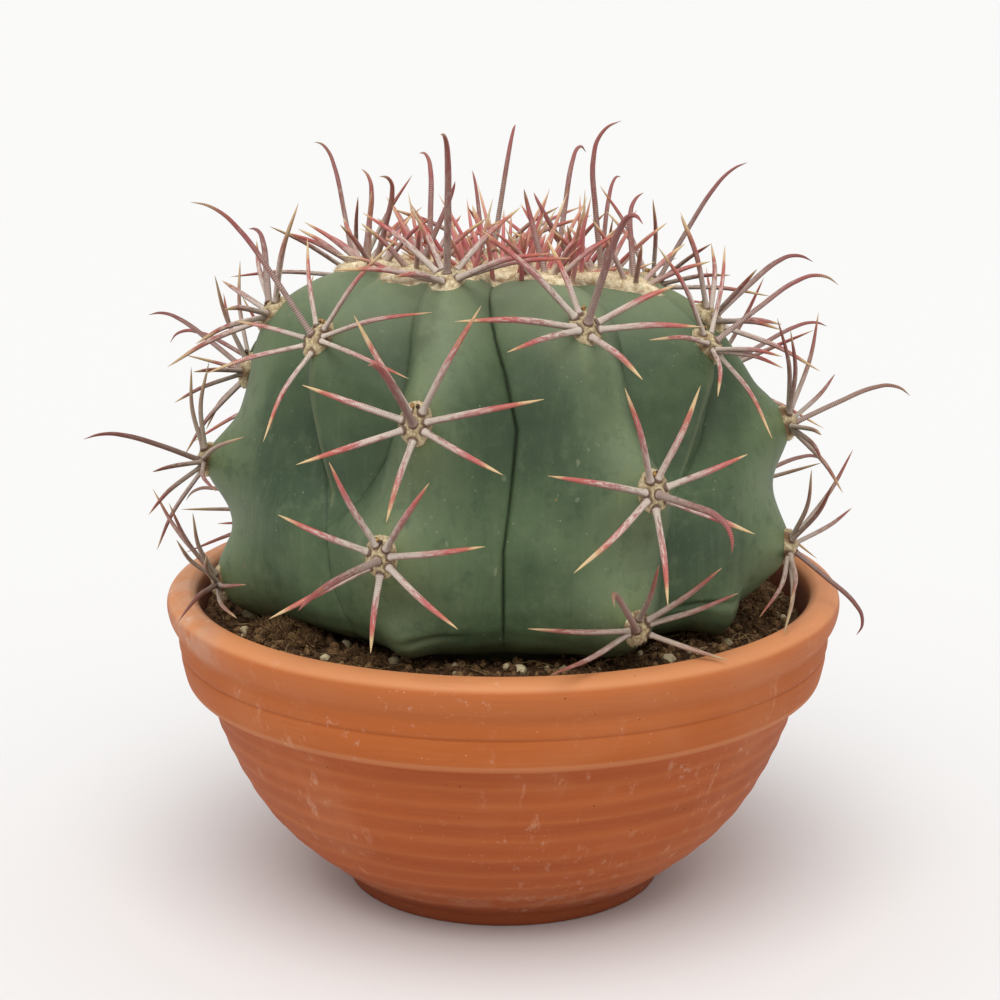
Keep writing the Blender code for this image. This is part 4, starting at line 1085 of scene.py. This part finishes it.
def pad_dome(x, y):
    """Height of an areole's felt, which bends over the swelling under it."""
    round_ = PAD_RISE * (1.0 - min(pad_share(x, y), 1.0) ** 4)
    return round_ + PAD_LIFT - (x * x + y * y) / PAD_BEND


def bumps(x, y, seed, kind):
    """Unevenness of the felt, of a given fineness, height and share of the seed."""
    fineness, height, shift = kind
    return height * noise.noise(Vector((x * fineness, y * fineness, seed * shift)))


def pad_piece(areole, roots, young, size, finish, seed):
    """Felt pad of an areole: an uneven low dome with a raised ring round each spine."""
    centre, out, up, side = areole
    spots = [((root - centre).dot(side), (root - centre).dot(up)) for root in roots]
    stretch = 1.0 + YOUNG_STRETCH * young
    grain_, reach = PAD_OUTLINE
    places, socket, wool = [], [], []
    for r in range(PAD_RINGS + 2):
        share = min(r / PAD_RINGS, 1.0)
        for c in range(PAD_COLUMNS):
            turn = math.tau * c / PAD_COLUMNS
            wobble = 1.0 + reach * noise.noise(
                Vector((math.cos(turn) * grain_, math.sin(turn) * grain_, seed)))
            x = math.sin(turn) * share * PAD_WIDTH * wobble * size
            y = math.cos(turn) * share * PAD_LENGTH * wobble * stretch * size
            dome = pad_dome(x / size, PAD_SHIFT + y / size)
            y += PAD_SHIFT
            away = min(math.hypot(x - sx, y - sy) for sx, sy in spots)
            collar = math.exp(-((away - SOCKET_RADIUS) / SOCKET_WIDTH) ** 2)
            pit = math.exp(-(away / PIT_RADIUS) ** 4)
            height = dome + SOCKET_RISE * collar
            height = height + bumps(x, y, seed, PAD_COARSE) + bumps(x, y, seed, PAD_FINE)
            if r > PAD_RINGS:
                height = -PAD_SKIRT
                x, y = x * SKIRT_SHARE, PAD_SHIFT + (y - PAD_SHIFT) * SKIRT_SHARE
            places.append(centre + side * x + up * y + out * height)
            socket.append(pit * (1.0 - YOUNG_PIT * young))
            wool.append((1.0 - pit) if r <= PAD_RINGS else 0.0)
    faces = grid_faces(PAD_RINGS + 2, PAD_COLUMNS, last_cap=True)
    return mesh_piece("pad", places, faces, finish, PAD_WELD, socket=socket,
                      young=[young] * len(places), wool=wool)


def gland_beads(areole, count, finish, rng):
    """Small glands at the upper end of an areole."""
    centre, out, up, side = areole
    bm = bmesh.new()
    for k in range(count):
        spot = centre + side * (k - (count - 1) / 2) * GLAND_GAP + side * rng.uniform(-0.4, 0.4)
        spot += up * (PAD_LENGTH * GLAND_PLACE + rng.uniform(-0.6, 0.6)) + out * GLAND_LIFT
        radius = rng.uniform(0.8, 1.15) * MM
        shape = Matrix.Diagonal((radius, radius, radius * GLAND_LENGTH, 1.0))
        bmesh.ops.create_icosphere(bm, subdivisions=2, radius=1.0,
                                   matrix=Matrix.Translation(spot * MM) @ shape)
    beads = ball_piece("beads", bm, finish)
    beads.data.shade_smooth()
    return beads


# Wool of the crown and the young spines that stand in it.
WOOL_LEVELS = (258.0, 291.6)
WOOL_ROWS = 46
WOOL_COLUMNS = 230
WOOL_THICK = 3.0
WOOL_SPOTS = CROWN_RING + ((2, 276), (8, 279))
WOOL_WIDTH = 8.5
WOOL_ABOVE = 12.0
WOOL_BELOW = 6.5
LOBE_COVER = 1.25
RAGGED = 0.18
WOOL_FROM = 0.42
WOOL_RUNOUT = 0.3
WOOL_LIMITS = (-1.6, 1.0)
WOOL_BUMPS = 0.4
WOOL_GRAINS = ((0.8, 6.0, 5), (0.45, 2.3, 6))
BROWN_EDGE = 0.9
WOOL_COVER = (282.5, 288.0)
WOOL_CENTRE = (282.0, 291.0)
WOOL_CENTRE_RISE = 3.5
VALLEY_WIDTH = 16.0
YOUNG_SPINES = 46
YOUNG_REACH = (4.0, 43.0)
YOUNG_LENGTH = (27.0, 48.0)
YOUNG_LIFT = (16, 76)
YOUNG_HEADING = (-75, 75)
YOUNG_SINK = 1.5
CROWN_BEND = 0.0016
GOLDEN_ANGLE = 137.5


def wool_piece(finish):
    """Felt over the growing point, with a lobe down each rib to its youngest areole."""
    azimuth, level = np.meshgrid(np.arange(WOOL_COLUMNS) * TOTAL_TURN / WOOL_COLUMNS,
                                 np.linspace(*WOOL_LEVELS, WOOL_ROWS))
    radius = envelope(level)[0]
    cover = ease(level, *WOOL_COVER)
    for rib, centre in WOOL_SPOTS:
        across = arc(azimuth, crest_azimuth(rib, centre), radius)
        tall = np.where(level > centre, WOOL_ABOVE, WOOL_BELOW)
        cover = np.maximum(cover, LOBE_COVER * bell(across, WOOL_WIDTH, level - centre, tall))
    flat = place(azimuth, level, np.zeros_like(level)).reshape(-1, 3)
    rough = grains(flat, WOOL_GRAINS).reshape(level.shape)
    nearest = np.full(level.shape, TOTAL_TURN)
    for rib in range(len(RIBS)):
        nearest = np.minimum(nearest, np.abs(turn_between(azimuth, crest_azimuth(rib, level))))
    valley = np.clip(nearest * np.radians(radius) / VALLEY_WIDTH, 0.0, 1.0) ** 2
    valley = straight(level, CREASE_DEPTH) * valley
    thick = (cover + RAGGED * rough - WOOL_FROM) / WOOL_RUNOUT
    thick = WOOL_THICK * np.clip(thick, *WOOL_LIMITS)
    centre_rise = WOOL_CENTRE_RISE * ease(level, *WOOL_CENTRE)
    offset = thick + rough * WOOL_BUMPS * (thick > 0) + centre_rise - valley
    places = place(azimuth, level, offset).reshape(-1, 3)
    edge = np.clip(1.0 - thick / WOOL_THICK, 0.0, 1.0) ** 2
    return mesh_piece("wool", places, grid_faces(WOOL_ROWS, WOOL_COLUMNS, True, True), finish,
                      wool=thick > 0, young=np.ones(len(places)),
                      socket=BROWN_EDGE * edge * (thick > -0.5))


def young_lines(crown_frame, rng):
    """Young spines that cross each other over the crown."""
    centre, up, side, back = crown_frame
    lines = []
    for k in range(YOUNG_SPINES):
        turn = math.radians(GOLDEN_ANGLE * k) + rng.uniform(-0.2, 0.2)
        share = math.sqrt((k + 0.5) / YOUNG_SPINES)
        reach = YOUNG_REACH[0] + (YOUNG_REACH[1] - YOUNG_REACH[0]) * share
        away = side * math.cos(turn) + back * math.sin(turn)
        root = centre + away * reach - up * (YOUNG_SINK + CROWN_BEND * reach ** 2)
        lift = math.radians(rng.uniform(*YOUNG_LIFT))
        heading = math.radians(rng.uniform(*YOUNG_HEADING))
        flat = away * math.cos(heading) + away.cross(up) * math.sin(heading)
        tip = root + (flat * math.cos(lift) + up * math.sin(lift)) * rng.uniform(*YOUNG_LENGTH)
        middle = (root + tip) / 2 + up * rng.uniform(0.5, 3.0)
        knots = [(0.0, root), (0.5, middle), (1.0, tip)]
        lines.append(fine_points(knots, YOUNG_SHAPE, SPINE_SPACING))
    return lines


# Clay bowl: outlines of radius and height, each with the spacing of its steps.
POT_STEPS = 208
RIM = ((138.6, 136.4), (139.7, 137.1), (142.4, 137.2), (145.8, 136.6), (148.4, 135.2),
       (149.7, 133.2), (150, 130.9), (149.7, 128.5), (149, 126), (147.9, 123.8),
       (146.6, 122), (145.5, 120.8), (145, 119.7), (145.2, 118.2), (145.4, 116),
       (145.3, 113.6), (144.9, 112.1))
GROOVE = ((144.9, 112.1), (144.5, 111.8), (144.3, 111.5), (144.3, 111.2), (144.6, 110.8))
BAND = ((144.6, 110.8), (144.4, 107.5), (143.6, 103.5), (142.8, 100), (142.2, 98.2),
        (141.5, 97.2), (140.4, 96.5))
UNDERCUT = ((140.4, 96.5), (137.8, 95.7), (135.6, 94.9), (134.4, 93.8))
BOWL = ((134.4, 93.8), (131.9, 88), (128.2, 77), (123.9, 66), (118.6, 55),
        (112.6, 44.6), (104.9, 34.5), (95.6, 25), (85.6, 16.5), (77, 9.6), (74, 7.4))
FOOT = ((74, 7.4), (72.2, 5.8), (71.2, 1.4), (70.6, 0.3), (69.6, 0))
UNDERSIDE = ((69.6, 0), (62.6, 0), (60.5, 4), (8, 4), (8, 12.5))
INSIDE = ((8, 12.5), (62, 13.5), (78.5, 20.5), (96, 36), (109.4, 56.5), (118.8, 78.5),
          (126.5, 97), (131.6, 112), (134.2, 126.5))
INNER_LIP = ((134.2, 126.5), (136.2, 133), (137.4, 135.6), (138.6, 136.4))
OUTSIDE = ((RIM, 0.8), (GROOVE, 0.3), (BAND, 0.9), (UNDERCUT, 0.7), (BOWL, 1.05))
THROWING_RINGS = (86.5, 78.4, 69.7, 60.2, 50.2, 40.4, 31.6, 23.5, 16)
THROWING_WIDTH = 1.9
THROWING_WIDTHS = (0.9, 1.15)
THROWING_ROUND = 0.04
THROWING_STEEP = 1.3
THROWING_RELIEF = 0.5
RINGED_BETWEEN = (9.5, 92.5)
WOBBLE = 0.3
WOBBLE_GRAIN = 2.2
WOBBLE_RISE = 0.03
WOBBLE_STARTS = (4.0, 20.0)
SHARP_ANGLE = 50.0


def drawn(outline, spacing, corners=False):
    """Evenly stepped points along an outline, smooth, or straight between its corners."""
    points = np.array(outline, dtype=float)
    gone = lengths(points)
    wanted = np.linspace(0.0, gone[-1], max(int(gone[-1] / spacing), 2) + 1)
    if corners:
        wanted = np.unique(np.concatenate((wanted, gone)))
    curve = straight if corners else smooth
    return np.stack([curve(wanted, list(zip(gone, points[:, k]))) for k in range(2)], axis=1)


def pot_piece():
    """The bowl, thrown: rings down its outside and a slight unevenness all round."""
    outside = [drawn(*stretch)[:-1] for stretch in OUTSIDE]
    under = [drawn(FOOT, 0.7)[:-1], drawn(UNDERSIDE, 8.0, True)[:-1]]
    inside = [drawn(INSIDE, 6.0)[:-1], drawn(INNER_LIP, 1.0)[:-1]]
    outline = np.concatenate(outside + under + inside)
    turn = np.arange(POT_STEPS) * math.tau / POT_STEPS
    radius, height = (outline[:, k][:, None] * np.ones(POT_STEPS) for k in range(2))
    count = len(outline)
    outer = (np.arange(count) < sum(map(len, outside))).astype(float)[:, None]
    inner = np.arange(count) >= count - sum(map(len, inside))
    sway = 0.9 * np.sin(turn + 0.7) + 0.5 * np.sin(2 * turn + 2.1)
    relief = np.zeros_like(radius)
    for k, level in enumerate(THROWING_RINGS):
        width = THROWING_WIDTH * THROWING_WIDTHS[k % 2]
        away = np.abs(height - level - sway * (0.5 + 0.1 * k)) / width
        relief += np.exp(-np.sqrt(away ** 2 + THROWING_ROUND) * THROWING_STEEP)
    bowl = ((height < RINGED_BETWEEN[1]) & (height > RINGED_BETWEEN[0])) * outer
    uneven = np.array([[noise.noise(Vector((math.cos(t) * WOBBLE_GRAIN,
                                            math.sin(t) * WOBBLE_GRAIN, z * WOBBLE_RISE)))
                        for t in turn] for z in outline[:, 1]])
    push = THROWING_RELIEF * (relief - 0.5) * bowl
    radius = radius + push + WOBBLE * uneven * outer * ease(height, *WOBBLE_STARTS)
    places = np.stack((radius * np.cos(turn), radius * np.sin(turn), height), axis=-1)
    faces = grid_faces(count, POT_STEPS, endless=True)
    pot = mesh_piece("bowl", places.reshape(-1, 3), faces, clay_finish(),
                     inner=np.repeat(inner, POT_STEPS), ridge=relief * bowl)
    pot.data.set_sharp_from_angle(angle=math.radians(SHARP_ANGLE))
    return pot


# Soil, its stones, its lumps of peat and its fibres.
SOIL_LEVEL = 127.0
SOIL_RELIEF = 1.1
SOIL_CALM = 92.0
SOIL_WAVES_OVER = 22.0
SOIL_DIP = 5.0
SOIL_DIP_AZIMUTH = 95.0
SOIL_DIP_WIDTH = 48.0
SOIL_GRAIN = 1.5
SOIL_GRAINS = ((0.5, 9.0, 11), (0.75, 3.6, 12), (0.45, 1.6, 13))
SOIL_REACH = (84.0, 133.6)
SOIL_EDGE = (131.0, 133.6)
SOIL_EDGE_DROP = 1.6
SOIL_ROWS = 58
SOIL_COLUMNS = 300
SOIL_BED = ((132.6, 118), (126.2, 97.3), (109.1, 56.8), (78.2, 20.8), (10, 13.2))
BARE_STARTS = (90.0, 96.0)
BARE_ENDS = (129.5, 131.5)
STONES = (
    (-111, -27, 3.9), (-112, -48, 3), (-105, -36, 2.6), (-45, -93.5, 3),
    (-20, -98, 2.2), (6, -104, 3.6), (25, -102.5, 3), (69, -86, 3.4),
    (80, -74, 2.8), (96, -58, 2.6), (52, -104, 2.4), (-74, -92, 2.6),
)
STONE_CORNERS = 42
PEAT = ((-92, -55, 10.5), (-100, -44, 7.5), (-84, -66, 7), (-63, -88, 5.5),
        (-55, -96, 6), (112, 20, 6), (118, -8, 4.5), (60, -99, 4),
        (-90, 80, 7), (84, 92, 6.5), (0, 121, 5))
PEAT_DENTS = ((1.0, 1.3), (3.0, 1.1))
BALL_STRETCH = Vector((1.0, 0.85, 0.72))
BALL_COARSE = 1.3
BALL_FINE = 4.5
BALL_BIG = 0.8
BALL_SMALL = 0.5
FIBRES = 170
FIBRE_LENGTH = (6.0, 26.0)
FIBRE_THICKNESS = (0.14, 0.34)
FIBRE_START = (98.0, 130.0)
FIBRE_REACH = (92.0, 131.0)
FIBRE_STEPS = 8
FIBRE_LIFT = 1.2
FIBRE_ARCH = 1.4
FIBRE_BEND = 0.35
FIBRE_TAPER = 0.6


def soil_height(x, y):
    """Relief of the soil's surface, lower towards one side."""
    azimuth = np.degrees(np.arctan2(x, -y))
    reach = np.clip((np.hypot(x, y) - SOIL_CALM) / SOIL_WAVES_OVER, 0.0, 1.0)
    dip = SOIL_DIP * bell(turn_between(azimuth, SOIL_DIP_AZIMUTH), SOIL_DIP_WIDTH) * reach
    waves = np.sin(x * 0.21 + 1.3) * np.cos(y * 0.17) + 0.6 * np.sin(x * 0.33 + y * 0.41)
    return SOIL_LEVEL - dip + SOIL_RELIEF * waves * reach


def soil_piece(finish):
    """The filling: a rough crumbly surface over a plain bed."""
    radii = np.linspace(*SOIL_REACH, SOIL_ROWS)
    turn = np.arange(SOIL_COLUMNS) * math.tau / SOIL_COLUMNS
    x = radii[:, None] * np.sin(turn)
    y = -radii[:, None] * np.cos(turn)
    flat = np.stack((x, y, np.zeros_like(x)), axis=-1).reshape(-1, 3)
    rough = grains(flat, SOIL_GRAINS)
    heights = soil_height(x, y) + SOIL_GRAIN * rough.reshape(x.shape)
    heights -= SOIL_EDGE_DROP * ease(radii, *SOIL_EDGE)[:, None]
    places = [np.stack((x, y, heights), axis=-1).reshape(-1, 3)]
    for radius, height in SOIL_BED:
        places.append(np.stack((radius * np.sin(turn), -radius * np.cos(turn),
                                height * np.ones_like(turn)), axis=-1))
    bare = np.zeros((SOIL_ROWS + len(SOIL_BED), SOIL_COLUMNS))
    bare[:SOIL_ROWS] = (ease(radii, *BARE_STARTS) * (1.0 - ease(radii, *BARE_ENDS)))[:, None]
    return mesh_piece("peat_soil", np.concatenate(places), grid_faces(*bare.shape, True, True),
                      finish, bare=bare)


def rough_balls(name, spots, sunk, first_seed, next_seed, rough, facets, finish, dents=()):
    """Uneven lumps on the soil at places with sizes."""
    bm = bmesh.new()
    for k, (x, y, size) in enumerate(spots):
        spot = Vector((x, y, float(soil_height(x, y)) + size * sunk))
        seed = k * next_seed + first_seed
        made = bmesh.ops.create_icosphere(bm, subdivisions=facets, radius=1.0)
        for vert in made["verts"]:
            p = vert.co.normalized()
            big = BALL_BIG * noise.noise(p * BALL_COARSE + Vector((seed, 0, 0)))
            small = BALL_SMALL * noise.noise(p * BALL_FINE + Vector((0, seed, 0)))
            corner = p * BALL_STRETCH * (1.0 + rough * (big + small))
            vert.co = (Euler((0, 0, seed)).to_matrix() @ corner * size + spot) * MM
    for vert in bm.verts:
        push = sum(noise.noise(vert.co / (wide * MM)) * height for wide, height in dents)
        vert.co += vert.normal * push * MM
    return ball_piece(name, bm, finish)


def fibre_lines(rng):
    """Straws and dry roots lying on the soil."""
    lines = []
    for _ in range(FIBRES):
        turn = rng.uniform(0, math.tau)
        reach = rng.uniform(*FIBRE_START)
        x, y = reach * math.sin(turn), -reach * math.cos(turn)
        heading = rng.uniform(0, math.tau)
        bend = rng.uniform(-0.5, 0.5)
        length = rng.uniform(*FIBRE_LENGTH)
        points = []
        for s in range(FIBRE_STEPS + 1):
            if not FIBRE_REACH[0] <= math.hypot(x, y) <= FIBRE_REACH[1]:
                break
            arch = FIBRE_ARCH * math.sin(math.pi * s / FIBRE_STEPS)
            lift = FIBRE_LIFT + arch * rng.uniform(0.4, 1.2)
            points.append((x, y, float(soil_height(x, y)) + lift))
            heading += bend * FIBRE_BEND + rng.uniform(-0.15, 0.15)
            x += math.cos(heading) * length / FIBRE_STEPS
            y += math.sin(heading) * length / FIBRE_STEPS
        count = len(points)
        if count > FIBRE_STEPS // 2:
            thick = rng.uniform(*FIBRE_THICKNESS)
            lines.append((points, [thick * (1.0 - FIBRE_TAPER * k / count) for k in range(count)]))
    return lines


# The pieces.
LOOKS = {row[0]: row[4:] for row in AREOLES}
CROWN_AGE = 0.3
HALF_YOUNG = 0.6
WORN_AGE = 0.85
WORN_PAD = 0.86
RING_THICKNESS = 0.78
RING_RELIEF = 0.06
SPINE_SIDES = 8
HAIR_DENSITY = 900000.0
HAIR_LENGTH = 0.0011
YOUNG_HAIR = 0.0008
HAIR_THICKNESS = 0.00007
HAIR_LEAN = 0.8
WOOL_HAIR = (0.0019, 0.00008, 0.9)
PEAT_SHREDS = (1100000.0, 0.0034, 0.0003, 1.0)
CROWN_LIFT = 2.0
SEED_STEP = 1.31


def spines_of(node, areole, root_zone, thickness):
    """Fine lines of a node's spines and where each one leaves the felt."""
    lines, roots = [], []
    pad = areole if areole[1] is not None else None
    for line, rest in solid_rings(node):
        if (line[0][0] - areole[0]).length < root_zone:
            continue
        knots, shape = spine_path(line, rest, areole[0], root_zone)
        spacing = HOOK_SPACING if shape is HOOK_SHAPE else SPINE_SPACING
        lines.append(fine_points(knots, shape, spacing, pad, thickness))
        roots.append(Vector(lines[-1][0][2]))
    return lines, roots


def clad(node, areole, number):
    """Replaces one areole's solid by its ringed spines, felt, glands and hairs."""
    crown_member = node.startswith("crown_ring")
    age, thickness = LOOKS.get(node, (CROWN_AGE, RING_THICKNESS))
    lines, roots = spines_of(node, areole, ROOT_ZONE, thickness)
    young = 1.0 if crown_member else (HALF_YOUNG if node.endswith("crown") else 0.0)
    spines = horn_tubes("spines", lines, SPINE_SIDES, RING_RELIEF, age, number, horn)
    size = WORN_PAD if age >= WORN_AGE else 1.0
    pad = pad_piece(areole, roots, young, size, felt, number * SEED_STEP)
    hairs = hairs_on(pad, "hairs", felt, number, HAIR_DENSITY + HAIR_DENSITY * young,
                     HAIR_LENGTH + YOUNG_HAIR * young, HAIR_THICKNESS, HAIR_LEAN)
    keep_values(hairs, young=[young] * len(hairs.data.vertices))
    beads = gland_beads(areole, 0 if crown_member else 2, amber, rng)
    piece = join(f"{node}_spines", pad, spines, hairs, beads)
    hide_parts(node)
    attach(piece, BODY)


horn = spine_finish()
felt = felt_finish()
amber = gland_finish()
rings_of_horn = spine_tree()
felt_hairs = hair_tree()
lumps = lump_tree()
rng = random.Random(11)

skin = skin_piece()
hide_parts("cactus_body")
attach(skin, BODY)

for number, (node, areole) in enumerate(areole_frames().items()):
    clad(node, areole, number)

crown_centre = Vector(place(0.0, CROWN_LEVEL, 0.0))
crown_up = Vector((LEAN_RIGHT, LEAN_BACK, 1.0)).normalized()
crown_side = crown_up.cross(Vector((0.0, 1.0, 0.0))).normalized()
crown_frame = (crown_centre + crown_up * CROWN_LIFT, crown_up, crown_side,
               crown_up.cross(crown_side))
wool = wool_piece(felt)
wool_hairs = hairs_on(wool, "wool_hairs", felt, 5, HAIR_DENSITY, *WOOL_HAIR)
keep_values(wool_hairs, young=np.ones(len(wool_hairs.data.vertices)))
crown_lines, _ = spines_of("crown", (crown_centre, None), CROWN_ROOT_ZONE, 1.0)
crown_spines = horn_tubes("crown_spines", crown_lines + young_lines(crown_frame, rng),
                          SPINE_SIDES, 0.0, 0.0, 77, horn)
crown = join("crown_wool_and_spines", wool, crown_spines, wool_hairs)
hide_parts("crown")
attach(crown, BODY)

bowl = pot_piece()
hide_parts("pot")
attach(bowl, BODY)

dark_earth = soil_finish("dark_peat", (52, 38, 27), (124, 92, 64), 0.0020)
tan_earth = soil_finish("tan_peat", (88, 64, 42), (166, 132, 92), 0.0014)
straw = soil_finish("straw", (110, 84, 56), (190, 160, 116), 0.003)
grit = stone_finish()
soil = soil_piece(dark_earth)
crumbs = (
    ("dark_crumbs", dark_earth, 3, 60000.0, 0.0030, 0.22, 1.3, 0.8, 0.0003, 1),
    ("tan_crumbs", tan_earth, 9, 30000.0, 0.0026, 0.25, 1.5, 0.75, 0.0009, 2),
    ("gravel", grit, 21, 1300.0, 0.0026, 0.4, 0.8, 0.8, 0.0008, 2),
)
on_soil = [grown(soil, lumps, name, finish, seed, dict(zip(LUMP_INPUTS, values)))
           for name, finish, seed, *values in crumbs]
stones = rough_balls("grit_stones", STONES, 0.3, 0.0, 1.9, 0.42, 2, grit)
keep_values(stones, tone=[0.35 + 0.6 * ((k // STONE_CORNERS) % 3) / 2
                          for k in range(len(stones.data.vertices))])
peat = rough_balls("peat_lumps", PEAT, 0.05, 40.0, 2.7, 0.55, 4, dark_earth, PEAT_DENTS)
peat.data.shade_smooth()
keep_values(peat, wool=np.ones(len(peat.data.vertices)))
shreds = hairs_on(peat, "peat_shreds", tan_earth, 8, *PEAT_SHREDS)
fibres = horn_tubes("dry_roots", fibre_lines(rng), 5, 0.0, 0.0, 4, straw)
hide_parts("soil")
for piece in (soil, *on_soil, stones, peat, shreds, fibres):
    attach(piece, BODY)


# Floor, light and camera.
FLOOR_HALF = 15.0
SUN_STRENGTH = 1.8
SUN_SPREAD = 50.0
SUN_FROM = (0.05, 0.6, -1.3)
SKY_STRENGTH = 0.7
CAMERA_PLACE = (0.0, -1.1, 0.455)
CAMERA_TILT = 14.35
SENSOR = 36.0
FOCAL_SHARE = 2.549
CAMERA_SHIFT = -0.0034

floor_mesh = bpy.data.meshes.new("floor")
floor_mesh.from_pydata([(x * FLOOR_HALF, y * FLOOR_HALF, 0)
                        for x, y in ((-1, -1), (1, -1), (1, 1), (-1, 1))], [], [(0, 1, 2, 3)])
floor = linked("floor", floor_mesh)
floor.data.materials.append(floor_finish())

sun = bpy.data.lights.new("sky_light", "SUN")
sun.energy = SUN_STRENGTH
sun.angle = math.radians(SUN_SPREAD)
sun.color = (1.0, 0.99, 0.97)
linked("sky_light", sun).rotation_euler = Vector(SUN_FROM).to_track_quat("-Z", "Y").to_euler()
world = bpy.data.worlds.new("studio")
world.use_nodes = True
background = world.node_tree.nodes["Background"]
background.inputs["Color"].default_value = (1.0, 1.0, 1.0, 1.0)
background.inputs["Strength"].default_value = SKY_STRENGTH
bpy.context.scene.world = world
bpy.context.scene.view_settings.view_transform = "Standard"

camera = linked("camera", bpy.data.cameras.new("camera"))
camera.location = CAMERA_PLACE
camera.rotation_euler = (math.radians(90.0 - CAMERA_TILT), 0.0, 0.0)
camera.data.sensor_width = SENSOR
camera.data.lens = FOCAL_SHARE * SENSOR
camera.data.shift_x = CAMERA_SHIFT
bpy.context.scene.camera = camera
